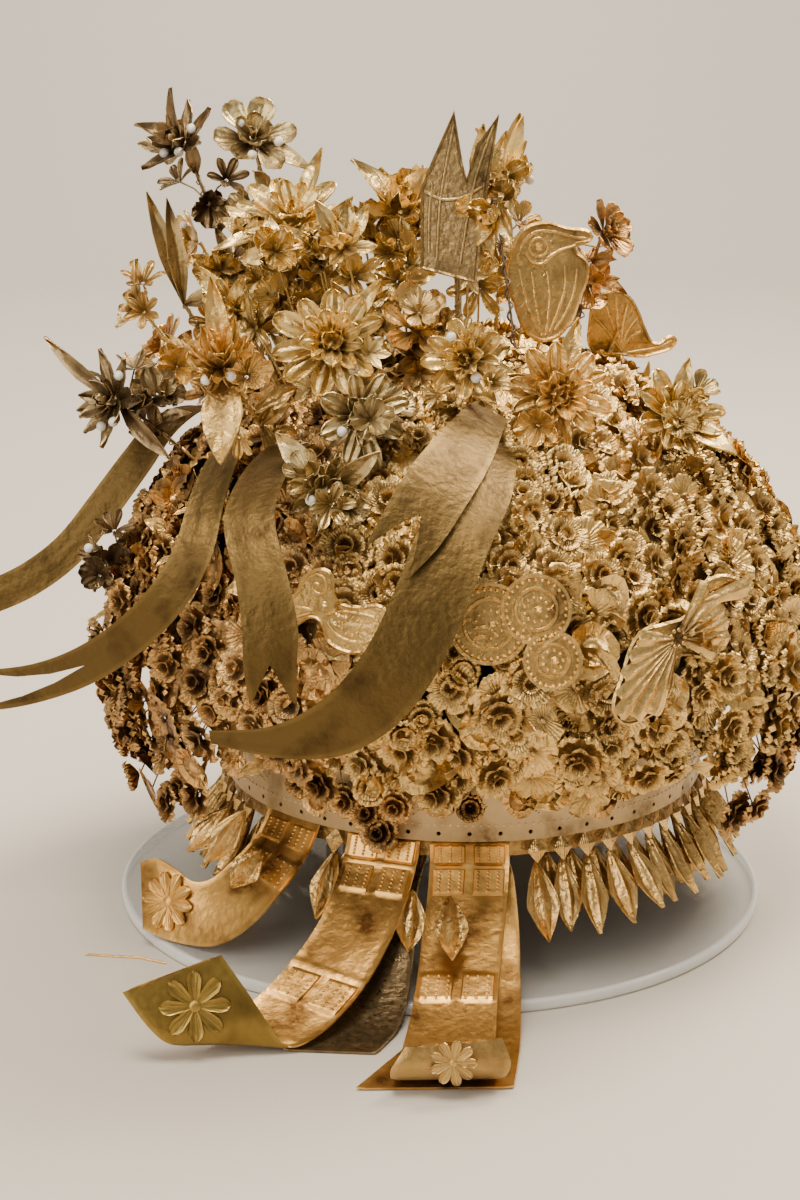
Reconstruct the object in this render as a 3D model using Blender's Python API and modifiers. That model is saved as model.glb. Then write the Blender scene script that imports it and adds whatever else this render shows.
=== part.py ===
"""A ceremonial headdress of gilt sheet brass on a clear display stand.

Units are metres and Z is up. The wearer's front faces -Y, and the origin lies on the table under the axis of
the dome. Lengths in the tables are millimetres and are multiplied by MM.
"""

import math
import random

import bmesh
import bpy
from mathutils import Matrix, Vector
from mathutils.bvhtree import BVHTree

MM = 0.001
GAP = 0.35

DISC_CENTRE_X = -10.0
DISC_RADIUS = 137.0
DISC_THICKNESS = 5.0
PAD_RADIUS = 30.0
PAD_TOP = 216.9
STAND_STEPS = 30

FRAME_WALL = 1.5
FRAME_STEPS = 16
SEAM = 0.5
RIM_HEIGHT = 57.0
BAND_RADIUS = 99.4
BAND_WALL = 1.3
BAND_TOP = 82.0
BAND_HALF_ANGLE = 100.0
BAND_STEPS = 24
HOLE_RADIUS = 0.9
HOLE_HEIGHT = 60.2
HOLES = 29

LUMP_HEIGHT = 5.0
PANELS = 8
PANEL_COLUMNS = 10
PANEL_ROWS = 16

RING_OUTER = 98.3
RING_INNER = 95.2
RING_TOP = 56.6
RING_FOOT = 50.0
KITE_WIDTH = 10.6
KITE_START = 61.0
KITE_SWEEP = 284.0
KITE_STEPS = 47
LONE_KITE = 31.2

GILT = (0.55, 0.42, 0.24)
RUST_GILT = (0.42, 0.28, 0.14)
PALE_GILT = (0.66, 0.54, 0.34)
OLIVE_GILT = (0.50, 0.43, 0.29)
WARM_GILT = (0.62, 0.44, 0.20)
DARK_GILT = (0.30, 0.22, 0.12)

# The outside of the dome's sheet, from the top down its outer side: radius, height.
FRAME_PROFILE = (
    (0.0, 220.2),
    (45.8, 218.6),
    (91.6, 198.3),
    (115.5, 174.4),
    (125.3, 149.8),
    (126.2, 126.0),
    (119.3, 107.3),
    (108.2, 93.3),
    (98.5, 84.0),
    (98.5, RIM_HEIGHT),
)

# The back of the rosette panels, from the foot up: radius, height at the front, height at the sides.
PANEL_BACK = (
    (103.4, 82.0, 60.0),
    (103.6, 86.0, 86.0),
    (109.0, 93.0, 93.0),
    (120.1, 107.0, 107.0),
    (127.0, 126.0, 126.0),
    (126.1, 150.0, 150.0),
    (116.2, 175.0, 175.0),
    (92.3, 199.0, 199.0),
    (46.6, 219.6, 219.6),
)

# The face of the rosette panels: radius and height at the front and back, then radius and height at the sides.
PANEL_FACE = (
    (110.0, 81.0, 118.0, 60.0),
    (122.0, 87.5, 138.0, 68.0),
    (130.0, 99.0, 145.0, 86.0),
    (135.0, 116.0, 147.0, 108.0),
    (137.0, 135.0, 145.0, 130.0),
    (133.0, 156.0, 136.0, 154.0),
    (121.0, 179.0, 122.0, 178.0),
    (99.0, 202.0, 100.0, 202.0),
    (50.0, 225.0, 50.0, 225.0),
)

PANEL_NAMES = (
    ("rosette_panel_front", -90.0),
    ("rosette_panel_front_right", -45.0),
    ("rosette_panel_right", 0.0),
    ("rosette_panel_back_right", 45.0),
    ("rosette_panel_back", 90.0),
    ("rosette_panel_back_left", 135.0),
    ("rosette_panel_left", 180.0),
    ("rosette_panel_front_left", -135.0),
)

# Stamped strips. Each row is one section: centre x, y, z, the direction across it, and its width.
STRIP_LEFT = (
    (-69, -71.3, 56.4, 0.72, -0.69, 0.00, 29),
    (-74, -75.5, 46.0, 0.71, -0.70, -0.05, 29),
    (-84, -80.0, 34.0, 0.66, -0.73, -0.18, 30),
    (-95, -82.0, 23.5, 0.55, -0.75, -0.38, 30),
    (-105, -80.0, 18.6, 0.38, -0.68, -0.63, 30),
    (-114, -75.0, 19.0, 0.18, -0.52, -0.83, 31),
    (-124, -69.0, 20.4, 0.08, -0.42, -0.90, 32),
    (-132, -64.0, 19.6, 0.05, -0.40, -0.91, 27),
)
STRIP_MIDDLE = (
    (-33, -93.6, 56.4, 0.943, -0.333, 0.00, 30),
    (-35, -98.0, 47.0, 0.943, -0.333, 0.00, 30),
    (-39, -108.0, 37.0, 0.94, -0.34, -0.02, 30),
    (-45, -121.0, 27.0, 0.93, -0.36, -0.08, 30),
    (-54, -136.0, 17.5, 0.91, -0.38, -0.14, 31),
    (-65, -150.0, 10.0, 0.90, -0.38, -0.18, 31),
    (-76, -161.0, 5.2, 0.93, -0.30, -0.10, 32),
    (-86, -169.0, 4.2, 0.98, 0.02, -0.06, 34),
    (-93, -172.5, 10.0, 0.97, 0.16, 0.12, 37),
    (-101, -171.5, 20.0, 0.94, 0.22, 0.26, 38),
    (-110, -168.0, 32.0, 0.93, 0.24, 0.28, 38),
)
STRIP_DARK = (
    (-23, -93.9, 49.4, 0.97, -0.24, 0.00, 14),
    (-28, -101.5, 37.0, 0.95, -0.28, 0.00, 16),
    (-32, -114.0, 22.0, 0.95, -0.30, 0.00, 22),
    (-37, -130.0, 9.5, 0.96, -0.26, 0.00, 28),
    (-43, -147.0, 2.4, 0.98, -0.18, 0.00, 32),
    (-50, -162.0, 0.85, 0.99, -0.10, 0.00, 34),
    (-53, -168.0, 0.85, 0.99, -0.08, 0.00, 34),
)
STRIP_FRONT = (
    (0, -99.3, 56.4, 1.0, 0.0, 0.0, 31),
    (0, -101.0, 47.0, 1.0, 0.0, 0.0, 31),
    (-1, -109.0, 36.5, 1.0, 0.0, 0.0, 31),
    (-3, -122.0, 26.0, 1.0, 0.0, 0.0, 31),
    (-5, -138.0, 16.5, 1.0, 0.0, 0.0, 31),
    (-7, -155.0, 9.0, 1.0, 0.0, 0.0, 32),
    (-9, -172.0, 4.5, 1.0, 0.02, 0.0, 34),
    (-10, -188.0, 3.2, 1.0, 0.03, 0.0, 37),
    (-10, -199.0, 5.6, 1.0, 0.03, 0.0, 40),
    (-9, -203.0, 12.5, 1.0, 0.03, 0.04, 42),
    (-8, -201.0, 20.5, 0.99, 0.04, 0.08, 34),
)
STRIP_REAR = (
    (5, -96.6, 49.4, 1.0, 0.0, 0.0, 20),
    (6, -101.0, 41.0, 1.0, 0.0, 0.0, 23),
    (6, -112.0, 26.5, 1.0, 0.0, 0.0, 26),
    (4, -128.0, 13.5, 1.0, 0.0, 0.0, 30),
    (1, -145.0, 5.0, 1.0, 0.0, 0.0, 35),
    (-3, -162.0, 1.2, 1.0, 0.0, 0.0, 41),
    (-9, -181.0, 0.85, 1.0, 0.0, 0.0, 49),
    (-14.5, -197.0, 0.85, 1.0, 0.02, 0.0, 56),
)

# Foil ribbons, in the same columns.
RIBBON_FAR_LEFT = (
    (-98, 0.0, 207.0, 0.45, -0.80, 0.35, 12),
    (-110, -2.0, 210.0, 0.60, -0.75, 0.10, 14),
    (-124, -4.0, 203.0, 0.72, -0.62, -0.25, 14),
    (-136, -8.0, 188.0, 0.78, -0.40, -0.48, 14),
    (-149, -13.0, 171.0, 0.78, -0.28, -0.56, 14),
    (-163, -18.0, 154.0, 0.72, -0.22, -0.65, 14),
    (-179, -21.0, 142.0, 0.58, -0.20, -0.79, 14),
    (-196, -21.0, 134.0, 0.42, -0.18, -0.89, 14),
    (-213, -21.0, 129.0, 0.35, -0.18, -0.92, 14),
)
RIBBON_LEFT_LONG = (
    (-80, -56.0, 208.0, 0.66, -0.70, 0.20, 12),
    (-93, -70.0, 206.0, 0.76, -0.62, 0.05, 14),
    (-100, -91.0, 193.0, 0.86, -0.48, -0.10, 15),
    (-105, -109.0, 175.0, 0.90, -0.30, -0.28, 15),
    (-116, -112.0, 157.0, 0.84, -0.22, -0.48, 15),
    (-131, -106.0, 141.0, 0.68, -0.22, -0.70, 15),
    (-148, -98.0, 128.0, 0.50, -0.22, -0.84, 15),
    (-166, -90.0, 119.0, 0.34, -0.22, -0.91, 15),
    (-184, -84.0, 114.0, 0.15, -0.20, -0.96, 16),
    (-200, -80.0, 113.0, 0.05, -0.20, -0.97, 17),
)
RIBBON_LEFT_SHORT = (
    (-61, -72.0, 210.0, 0.85, -0.50, 0.10, 14),
    (-71, -88.0, 210.0, 0.90, -0.42, 0.05, 16),
    (-79, -112.0, 203.0, 0.96, -0.26, 0.05, 18),
    (-82, -134.0, 193.0, 0.98, -0.15, 0.10, 19),
    (-77, -150.0, 176.0, 0.98, -0.10, 0.10, 19),
    (-74, -156.0, 160.0, 0.99, -0.05, 0.02, 20),
    (-74, -158.0, 145.0, 0.99, 0.00, -0.05, 19),
    (-73, -158.0, 131.0, 0.99, 0.02, -0.05, 17),
)
RIBBON_CENTRE_SHORT = (
    (8, -68.0, 219.0, 0.75, -0.45, -0.45, 14),
    (4, -86.0, 219.0, 0.72, -0.50, -0.45, 18),
    (-4, -112.0, 213.0, 0.72, -0.45, -0.52, 23),
    (-14, -133.0, 204.0, 0.72, -0.35, -0.60, 25),
    (-23, -146.0, 193.0, 0.75, -0.25, -0.61, 24),
    (-32, -152.0, 181.0, 0.80, -0.20, -0.56, 19),
)
RIBBON_CENTRE_LONG = (
    (7, -82.0, 210.0, 0.80, -0.45, -0.35, 18),
    (5, -98.0, 207.0, 0.85, -0.38, -0.35, 22),
    (0, -120.0, 199.0, 0.90, -0.28, -0.32, 25),
    (-9, -140.0, 186.0, 0.90, -0.22, -0.36, 26),
    (-17, -152.0, 168.0, 0.90, -0.15, -0.40, 26),
    (-26, -158.0, 149.0, 0.86, -0.10, -0.50, 26),
    (-38, -160.0, 132.0, 0.72, -0.05, -0.68, 25),
    (-54, -159.0, 120.0, 0.50, 0.00, -0.86, 21),
    (-74, -154.0, 114.0, 0.28, 0.02, -0.95, 12),
    (-97, -145.0, 113.0, 0.15, 0.05, -0.98, 5),
)

# Blossoms on wire stems: name, head x, y, z, the way it faces, petals, radius, cup, colour.
BLOSSOMS = (
    ("blossom_top_left_spiky", -115, 20, 313, -0.6, -0.5, 0.6, 7, 20, 9, DARK_GILT),
    ("blossom_top_left_round", -86, 2, 317, 0.1, -0.8, 0.6, 5, 18, 6, PALE_GILT),
    ("blossom_orange_side", -112, 40, 272, -0.9, -0.3, 0.1, 7, 14, 8, WARM_GILT),
    ("blossom_lotus", -69, -20, 285, 0.0, -0.45, 0.9, 9, 24, 10, PALE_GILT),
    ("blossom_crumpled", -26, -8, 289, 0.1, -0.5, 0.85, 6, 21, 9, PALE_GILT),
    ("blossom_dark_round", -73, 30, 255, 0.0, -0.9, 0.2, 7, 16, 5, DARK_GILT),
    ("blossom_small_left", -135, 22, 246, -0.8, -0.4, 0.5, 6, 12, 6, WARM_GILT),
    ("blossom_back_left", -128, 58, 224, -0.7, 0.0, 0.6, 7, 16, 5, RUST_GILT),
    ("blossom_dark_left", -141, -22, 216, -0.7, -0.6, 0.2, 8, 20, 8, DARK_GILT),
    ("blossom_bud_cluster", -92, -90, 240, -0.1, -0.6, 0.8, 6, 16, 12, GILT),
    ("blossom_large", -53, -80, 248, 0.1, -0.9, 0.4, 10, 22, 5, PALE_GILT),
    ("blossom_lower_centre", -42, -97, 224, 0.3, -0.9, 0.1, 8, 18, 6, OLIVE_GILT),
    ("blossom_lower_left", -54, -113, 200, 0.2, -0.9, -0.1, 8, 16, 5, OLIVE_GILT),
    ("blossom_middle", -1, -80, 242, -0.3, -0.9, 0.3, 7, 16, 7, PALE_GILT),
    ("blossom_spiky_centre", 32, -78, 228, 0.2, -0.9, 0.2, 9, 21, 6, GILT),
    ("blossom_pale_right", 78, -62, 216, 0.3, -0.7, 0.6, 8, 21, 9, PALE_GILT),
    ("blossom_behind_bird", 58, 30, 277, 0.7, -0.5, 0.4, 7, 14, 5, RUST_GILT),
    ("blossom_leafy_top", 16, 10, 297, 0.1, -0.4, 0.9, 6, 15, 14, GILT),
    ("blossom_round_leaves", -21, -40, 247, 0.2, -0.6, 0.7, 5, 17, 7, WARM_GILT),
    ("leaf_cluster_dark", -149, -28, 150, -0.8, -0.55, 0.1, 6, 13, 4, DARK_GILT),
)

# Leaves that grow from behind a blossom: blossom, tip x, y, z, width.
LEAVES = (
    ("blossom_top_left_spiky", -134, 12, 323, 9),
    ("blossom_top_left_spiky", -120, 14, 337, 8),
    ("blossom_top_left_round", -62, -4, 306, 8),
    ("blossom_lotus", -58, -6, 315, 8),
    ("blossom_lotus", -101, -30, 277, 9),
    ("blossom_crumpled", -46, -12, 311, 12),
    ("blossom_crumpled", -17, -14, 308, 12),
    ("blossom_small_left", -136, 16, 268, 7),
    ("blossom_dark_left", -171, -10, 240, 7),
    ("blossom_dark_left", -118, -38, 195, 8),
    ("blossom_bud_cluster", -97, -88, 275, 9),
    ("blossom_bud_cluster", -93, -110, 209, 16),
    ("blossom_bud_cluster", -108, -92, 252, 9),
    ("blossom_large", -34, -74, 272, 8),
    ("blossom_lower_left", -73, -102, 219, 10),
    ("blossom_lower_left", -34, -120, 216, 9),
    ("blossom_spiky_centre", 13, -86, 238, 8),
    ("blossom_spiky_centre", 41, -64, 256, 9),
    ("blossom_pale_right", 101, -78, 206, 11),
    ("blossom_pale_right", 84, -60, 240, 9),
    ("blossom_leafy_top", 21, 2, 328, 10),
    ("blossom_leafy_top", 4, 4, 322, 9),
)


def clear_scene():
    """Empties the scene of whatever it starts with."""
    for thing in list(bpy.data.objects):
        bpy.data.objects.remove(thing)


clear_scene()
HEADDRESS = bpy.data.collections.new("CeremonialHeaddress")
bpy.context.scene.collection.children.link(HEADDRESS)
CUTTERS = bpy.data.collections.new("Cutters")
bpy.context.scene.collection.children.link(CUTTERS)
CUTTERS.hide_render = True


def finish_material(name, colour, metallic, roughness):
    """One plain Principled material."""
    made = bpy.data.materials.new(name)
    made.use_nodes = True
    shader = made.node_tree.nodes["Principled BSDF"]
    shader.inputs["Base Color"].default_value = (colour[0], colour[1], colour[2], 1.0)
    shader.inputs["Metallic"].default_value = metallic
    shader.inputs["Roughness"].default_value = roughness
    return made


def add_piece(name, mesh, colour, metallic=1.0, roughness=0.4):
    """Puts a finished mesh into the headdress as a named piece with its own material."""
    mesh.name = name
    mesh.materials.clear()
    mesh.materials.append(finish_material(name, colour, metallic, roughness))
    piece = bpy.data.objects.new(name, mesh)
    HEADDRESS.objects.link(piece)
    return piece


def helper_object(name, data):
    """A cutter or a half-made piece, which isn't rendered."""
    helper = bpy.data.objects.new(name, data)
    CUTTERS.objects.link(helper)
    helper.hide_render = True
    helper.display_type = "WIRE"
    return helper


def evaluated_mesh(thing):
    """The mesh that an object's modifiers or curve settings give."""
    bpy.context.view_layer.update()
    graph = bpy.context.evaluated_depsgraph_get()
    return bpy.data.meshes.new_from_object(thing.evaluated_get(graph))


def closed_mesh(name, points, faces):
    """A closed mesh from points in millimetres, with its faces turned outwards."""
    mesh = bpy.data.meshes.new(name)
    mesh.from_pydata([(x * MM, y * MM, z * MM) for x, y, z in points], [], faces)
    return tidy_mesh(mesh)


def tidy_mesh(mesh):
    """Welds a mesh's doubles and turns its faces outwards."""
    work = bmesh.new()
    work.from_mesh(mesh)
    bmesh.ops.remove_doubles(work, verts=work.verts, dist=1e-6)
    bmesh.ops.recalc_face_normals(work, faces=work.faces)
    work.to_mesh(mesh)
    work.free()
    return mesh


def turned_mesh(name, profile, steps):
    """A profile at +X, turned about Z."""
    line = bpy.data.meshes.new(name)
    points = [(r * MM, 0.0, z * MM) for r, z in profile]
    line.from_pydata(points, [(i, i + 1) for i in range(len(points) - 1)], [])
    thing = helper_object(name, line)
    screw = thing.modifiers.new("Turn", "SCREW")
    screw.axis = "Z"
    screw.angle = math.tau
    screw.steps = steps
    screw.render_steps = steps
    screw.use_merge_vertices = True
    screw.merge_threshold = 1e-5
    mesh = evaluated_mesh(thing)
    bpy.data.objects.remove(thing)
    return mesh


def gore_of(dome, degrees):
    """Keeps the gore of an open dome that looks a given way, cut a little short of its neighbours."""
    work = bmesh.new()
    work.from_mesh(dome)
    for side in (-1.0, 1.0):
        edge = math.radians(degrees + side * 180.0 / PANELS)
        beside = Vector((-math.sin(edge), math.cos(edge), 0.0)) * side
        bmesh.ops.bisect_plane(
            work,
            geom=[*work.verts, *work.edges, *work.faces],
            plane_co=beside * -SEAM * MM,
            plane_no=beside,
            clear_outer=True,
        )
    work.to_mesh(dome)
    work.free()
    return dome


def fuse(name, meshes):
    """Unites closed meshes into one body."""
    base = helper_object(name, meshes[0])
    tools = []
    for number, mesh in enumerate(meshes[1:]):
        tool = helper_object(f"{name}_part_{number}", mesh)
        tools.append(tool)
        union = base.modifiers.new(f"Join {number}", "BOOLEAN")
        union.operation = "UNION"
        union.solver = "EXACT"
        union.object = tool
    mesh = evaluated_mesh(base)
    for thing in [base, *tools]:
        bpy.data.objects.remove(thing)
    return mesh


def cut(name, mesh, cutter):
    """Takes a closed cutter away from a closed mesh."""
    base = helper_object(name, mesh)
    tool = helper_object(f"{name}_cutter", cutter)
    difference = base.modifiers.new("Cut", "BOOLEAN")
    difference.operation = "DIFFERENCE"
    difference.solver = "EXACT"
    difference.object = tool
    made = evaluated_mesh(base)
    for thing in (base, tool):
        bpy.data.objects.remove(thing)
    return made


def interpolate(table, share):
    """The row of numbers at a share of the way along a table."""
    place = share * (len(table) - 1)
    low = min(int(place), len(table) - 2)
    part = place - low
    return [a + (b - a) * part for a, b in zip(table[low], table[low + 1])]


def side_weight(angle):
    """1 at the wearer's left and right, 0 at the front and back."""
    return abs(math.cos(math.radians(angle))) ** 1.5


def on_axis(angle, radius, height):
    """A point at an azimuth in degrees, a radius and a height."""
    turn = math.radians(angle)
    return (radius * math.cos(turn), radius * math.sin(turn), height)


def panel_face_point(angle, share, lump):
    """A point on the face of the mantle, raised by a lump."""
    front_r, front_z, side_r, side_z = interpolate(PANEL_FACE, share)
    weight = side_weight(angle)
    right = max(0.0, math.cos(math.radians(angle))) ** 2
    radius = front_r + (side_r * (1.0 - 0.03 * right) - front_r) * weight
    height = front_z + (side_z - front_z) * weight
    up = max(0.0, (share - 0.62) / 0.38)
    lean = min(1.0, up * 1.2)
    return on_axis(angle, radius + lump * (1.0 - 0.75 * lean), height + lump * lean)


def panel_back_point(angle, share):
    """A point on the smooth back of the mantle."""
    radius, front_z, side_z = interpolate(PANEL_BACK, share)
    return on_axis(angle, radius, front_z + (side_z - front_z) * side_weight(angle))


def panel_mesh(name, centre, chance):
    """A panel of rosettes: a height field of lumps in front and a coarser smooth back, joined round the rim."""
    points = []
    face_at = {}
    back_at = {}
    columns = PANEL_COLUMNS
    rows = PANEL_ROWS
    for j in range(rows + 1):
        for i in range(columns + 1):
            angle = centre + (i / columns - 0.5) * 360.0 / PANELS
            if j % 2 == 1 and (i + (j - 1) // 2) % 2 == 1:
                lump = LUMP_HEIGHT + chance.uniform(-1.0, 2.0)
            elif j % 2 == 1:
                lump = chance.uniform(-1.5, 0.0)
            else:
                lump = chance.uniform(0.5, 2.5)
            if j in (0, rows):
                lump = 0.0
            x, y, z = panel_face_point(angle, j / rows, lump)
            seam = 0.3 * ((i == 0) - (i == columns))
            turn = math.radians(angle)
            face_at[i, j] = len(points)
            points.append((x - seam * math.sin(turn), y + seam * math.cos(turn), z))
    for j in range(0, rows + 1, 2):
        for i in range(0, columns + 1, 2):
            angle = centre + (i / columns - 0.5) * 360.0 / PANELS
            x, y, z = panel_back_point(angle, j / rows)
            seam = 0.3 * ((i == 0) - (i == columns))
            turn = math.radians(angle)
            back_at[i, j] = len(points)
            points.append((x - seam * math.sin(turn), y + seam * math.cos(turn), z))
    faces = []
    for j in range(rows):
        for i in range(columns):
            a, b, c, d = face_at[i, j], face_at[i + 1, j], face_at[i + 1, j + 1], face_at[i, j + 1]
            if (i + j) % 2:
                faces += [(a, b, c), (a, c, d)]
            else:
                faces += [(a, b, d), (b, c, d)]
    for j in range(0, rows, 2):
        for i in range(0, columns, 2):
            a, b = back_at[i, j], back_at[i + 2, j]
            c, d = back_at[i + 2, j + 2], back_at[i, j + 2]
            faces += [(a, c, b), (a, d, c)]
    rim = [(i, 0) for i in range(columns)] + [(columns, j) for j in range(rows)]
    rim += [(i, rows) for i in range(columns, 0, -1)] + [(0, j) for j in range(rows, 0, -1)]
    for start in range(0, len(rim), 2):
        first, middle, last = rim[start], rim[start + 1], rim[(start + 2) % len(rim)]
        faces.append((face_at[first], back_at[first], face_at[middle]))
        faces.append((face_at[middle], back_at[first], back_at[last]))
        faces.append((face_at[middle], back_at[last], face_at[last]))
    return closed_mesh(name, points, faces)


def cap_mesh(name, chance):
    """The disc of rosettes that closes the mantle on top."""
    rings = ((45.6, 226.0), (31.0, 230.0), (15.0, 232.0))
    count = 20
    points = [(0.0, 0.0, 235.0)]
    for number, (radius, height) in enumerate(rings):
        for i in range(count):
            high = LUMP_HEIGHT if (i + number) % 2 else -1.0
            bump = 0.0 if number == 0 else high + chance.uniform(-1.0, 1.0)
            points.append(on_axis(i * 360.0 / count, radius, height + bump))
    foot = len(points)
    for i in range(count):
        points.append(on_axis(i * 360.0 / count, 45.6, 220.7))
    points.append((0.0, 0.0, 220.7))
    faces = []
    for i in range(count):
        after = (i + 1) % count
        faces.append((0, 1 + 2 * count + i, 1 + 2 * count + after))
        for ring in range(2):
            outer = 1 + ring * count
            inner = outer + count
            faces.append((outer + i, outer + after, inner + after))
            faces.append((outer + i, inner + after, inner + i))
        faces.append((foot + i, foot + after, 1 + after))
        faces.append((foot + i, 1 + after, 1 + i))
        faces.append((foot + i, len(points) - 1, foot + after))
    return closed_mesh(name, points, faces)


def strip_mesh(name, rows, thickness, end_push, crown=0.4):
    """A strip of sheet through its sections, three points across, with a pointed or a notched end."""
    centres = [Vector(row[:3]) for row in rows]
    across = [Vector(row[3:6]).normalized() for row in rows]
    points = []
    for k, centre in enumerate(centres):
        ahead = centres[min(k + 1, len(rows) - 1)] - centres[max(k - 1, 0)]
        ahead.normalize()
        normal = across[k].cross(ahead).normalized()
        half = across[k] * rows[k][6] / 2.0
        push = ahead * end_push if k == len(rows) - 1 else Vector()
        for side in (1.0, -1.0):
            lift = normal * side * thickness / 2.0
            points.append(tuple(centre - half + lift))
            points.append(tuple(centre + normal * crown + push + lift))
            points.append(tuple(centre + half + lift))
    faces = []
    for k in range(len(rows) - 1):
        a = 6 * k
        b = a + 6
        loop = (0, 1, 2, 5, 4, 3)
        for n in range(6):
            p, q = loop[n], loop[(n + 1) % 6]
            faces.append((a + p, a + q, b + q, b + p))
    for a in (0, 6 * (len(rows) - 1)):
        faces += [(a, a + 1, a + 4, a + 3), (a + 1, a + 2, a + 5, a + 4)]
    return closed_mesh(name, points, faces)


def panes_mesh(name, rows, sections, raised=1.4):
    """Raised panes stamped in pairs on some sections of a strip."""
    points = []
    faces = []
    for k in sections:
        near = Vector(rows[k][:3])
        far = Vector(rows[k + 1][:3])
        across_near = Vector(rows[k][3:6]).normalized() * rows[k][6] / 2.0
        across_far = Vector(rows[k + 1][3:6]).normalized() * rows[k + 1][6] / 2.0
        normal = across_near.cross(far - near).normalized()
        if normal.y > 0.0:
            normal.negate()
        for side in (-1.0, 1.0):
            start = len(points)
            for lift in (-0.1, raised):
                for u, v in ((0.16, 0.14), (0.16, 0.62), (0.84, 0.62), (0.84, 0.14)):
                    middle = near.lerp(far, u)
                    reach = across_near.lerp(across_far, u) * side * v
                    points.append(tuple(middle + reach + normal * lift))
            faces += [(start, start + 1, start + 2, start + 3), (start + 4, start + 5, start + 6, start + 7)]
            for n in range(4):
                m = (n + 1) % 4
                faces.append((start + n, start + m, start + 4 + m, start + 4 + n))
    return closed_mesh(name, points, faces)


def star_mesh(name, centre, facing, petals, radius, notch, cup, hub):
    """A stamped flower: a lens with one sharp point per petal, dished by its cup."""
    axis = Vector(facing).normalized()
    side = axis.cross(Vector((0.0, 0.0, 1.0)))
    if side.length < 0.1:
        side = Vector((1.0, 0.0, 0.0))
    side.normalize()
    other = axis.cross(side)
    middle = Vector(centre)
    points = [tuple(middle + axis * hub), tuple(middle - axis * hub)]
    for n in range(petals):
        tip = math.tau * n / petals
        dip = math.tau * (n + 0.5) / petals
        outward = side * math.cos(tip) + other * math.sin(tip)
        between = side * math.cos(dip) + other * math.sin(dip)
        points.append(tuple(middle + outward * radius + axis * cup))
        points.append(tuple(middle + between * radius * notch + axis * cup * notch * 0.5))
    faces = []
    for n in range(2 * petals):
        a = 2 + n
        b = 2 + (n + 1) % (2 * petals)
        faces += [(0, a, b), (1, b, a)]
    return closed_mesh(name, points, faces)


def leaf_mesh(name, base, tip, facing, width, thickness=1.4, widest=0.42):
    """A pointed leaf or kite with a ridge along its face."""
    start = Vector(base)
    end = Vector(tip)
    along = (end - start).normalized()
    across = along.cross(Vector(facing)).normalized()
    normal = across.cross(along).normalized()
    middle = start.lerp(end, widest)
    points = [
        tuple(start),
        tuple(end),
        tuple(middle + across * width / 2.0),
        tuple(middle - across * width / 2.0),
        tuple(middle + normal * thickness),
        tuple(middle - normal * thickness * 0.6),
    ]
    faces = [(0, 2, 4), (0, 4, 3), (0, 3, 5), (0, 5, 2), (1, 4, 2), (1, 3, 4), (1, 5, 3), (1, 2, 5)]
    return closed_mesh(name, points, faces)


def wire_mesh(name, rows):
    """A round wire through its rows: x, y, z and radius, with closed ends."""
    line = bpy.data.curves.new(name, "CURVE")
    line.dimensions = "3D"
    spline = line.splines.new("POLY")
    spline.points.add(len(rows) - 1)
    for point, (x, y, z, radius) in zip(spline.points, rows):
        point.co = (x * MM, y * MM, z * MM, 1.0)
        point.radius = radius
    line.bevel_depth = MM
    line.bevel_resolution = 0
    line.use_fill_caps = True
    thing = helper_object(name, line)
    mesh = evaluated_mesh(thing)
    bpy.data.objects.remove(thing)
    return tidy_mesh(mesh)


def plate_mesh(name, outline, thickness, centre, right, up):
    """A flat plate cut to an outline, laid at a centre along its right and up directions."""
    line = bpy.data.curves.new(name, "CURVE")
    line.dimensions = "2D"
    line.fill_mode = "BOTH"
    line.extrude = thickness * MM / 2.0
    spline = line.splines.new("POLY")
    spline.points.add(len(outline) - 1)
    for point, (x, y) in zip(spline.points, outline):
        point.co = (x * MM, y * MM, 0.0, 1.0)
    spline.use_cyclic_u = True
    thing = helper_object(name, line)
    mesh = evaluated_mesh(thing)
    bpy.data.objects.remove(thing)
    x_way = Vector(right).normalized()
    normal = x_way.cross(Vector(up)).normalized()
    y_way = normal.cross(x_way)
    turn = Matrix((x_way, y_way, normal)).transposed().to_4x4()
    mesh.transform(Matrix.Translation(Vector(centre) * MM) @ turn)
    return tidy_mesh(mesh)


def drill_mesh(name, radius, length, centre, way):
    """A four-sided drill through a wall, along a direction."""
    work = bmesh.new()
    bmesh.ops.create_cone(
        work, cap_ends=True, segments=4, radius1=radius * MM, radius2=radius * MM, depth=length * MM
    )
    mesh = bpy.data.meshes.new(name)
    work.to_mesh(mesh)
    work.free()
    turn = Vector(way).to_track_quat("Z", "Y").to_matrix().to_4x4()
    mesh.transform(Matrix.Translation(Vector(centre) * MM) @ turn)
    return mesh


def joined(name, meshes):
    """Many meshes as one, with their bodies left separate."""
    work = bmesh.new()
    for mesh in meshes:
        work.from_mesh(mesh)
        bpy.data.meshes.remove(mesh)
    made = bpy.data.meshes.new(name)
    work.to_mesh(made)
    work.free()
    return made


def tree_of(meshes):
    """A search tree over the faces of several meshes."""
    points = []
    faces = []
    for mesh in meshes:
        start = len(points)
        points += [v.co.copy() for v in mesh.vertices]
        faces += [[start + v for v in face.vertices] for face in mesh.polygons]
    return BVHTree.FromPolygons(points, faces)


def seat(mesh, toward, tree):
    """Moves a mesh along a direction until it all but touches what the tree holds."""
    way = Vector(toward).normalized()

    def touches(travel):
        moved = mesh.copy()
        moved.transform(Matrix.Translation(way * travel * MM))
        hit = bool(tree_of([moved]).overlap(tree))
        bpy.data.meshes.remove(moved)
        return hit

    travel = -25.0
    while travel < 40.0 and not touches(travel + 1.0):
        travel += 1.0
    low, high = travel, travel + 1.0
    for _ in range(8):
        middle = (low + high) / 2.0
        if touches(middle):
            high = middle
        else:
            low = middle
    mesh.transform(Matrix.Translation(way * (low - GAP) * MM))
    print(mesh.name, "seated", round(low, 1))
    return mesh


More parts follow.
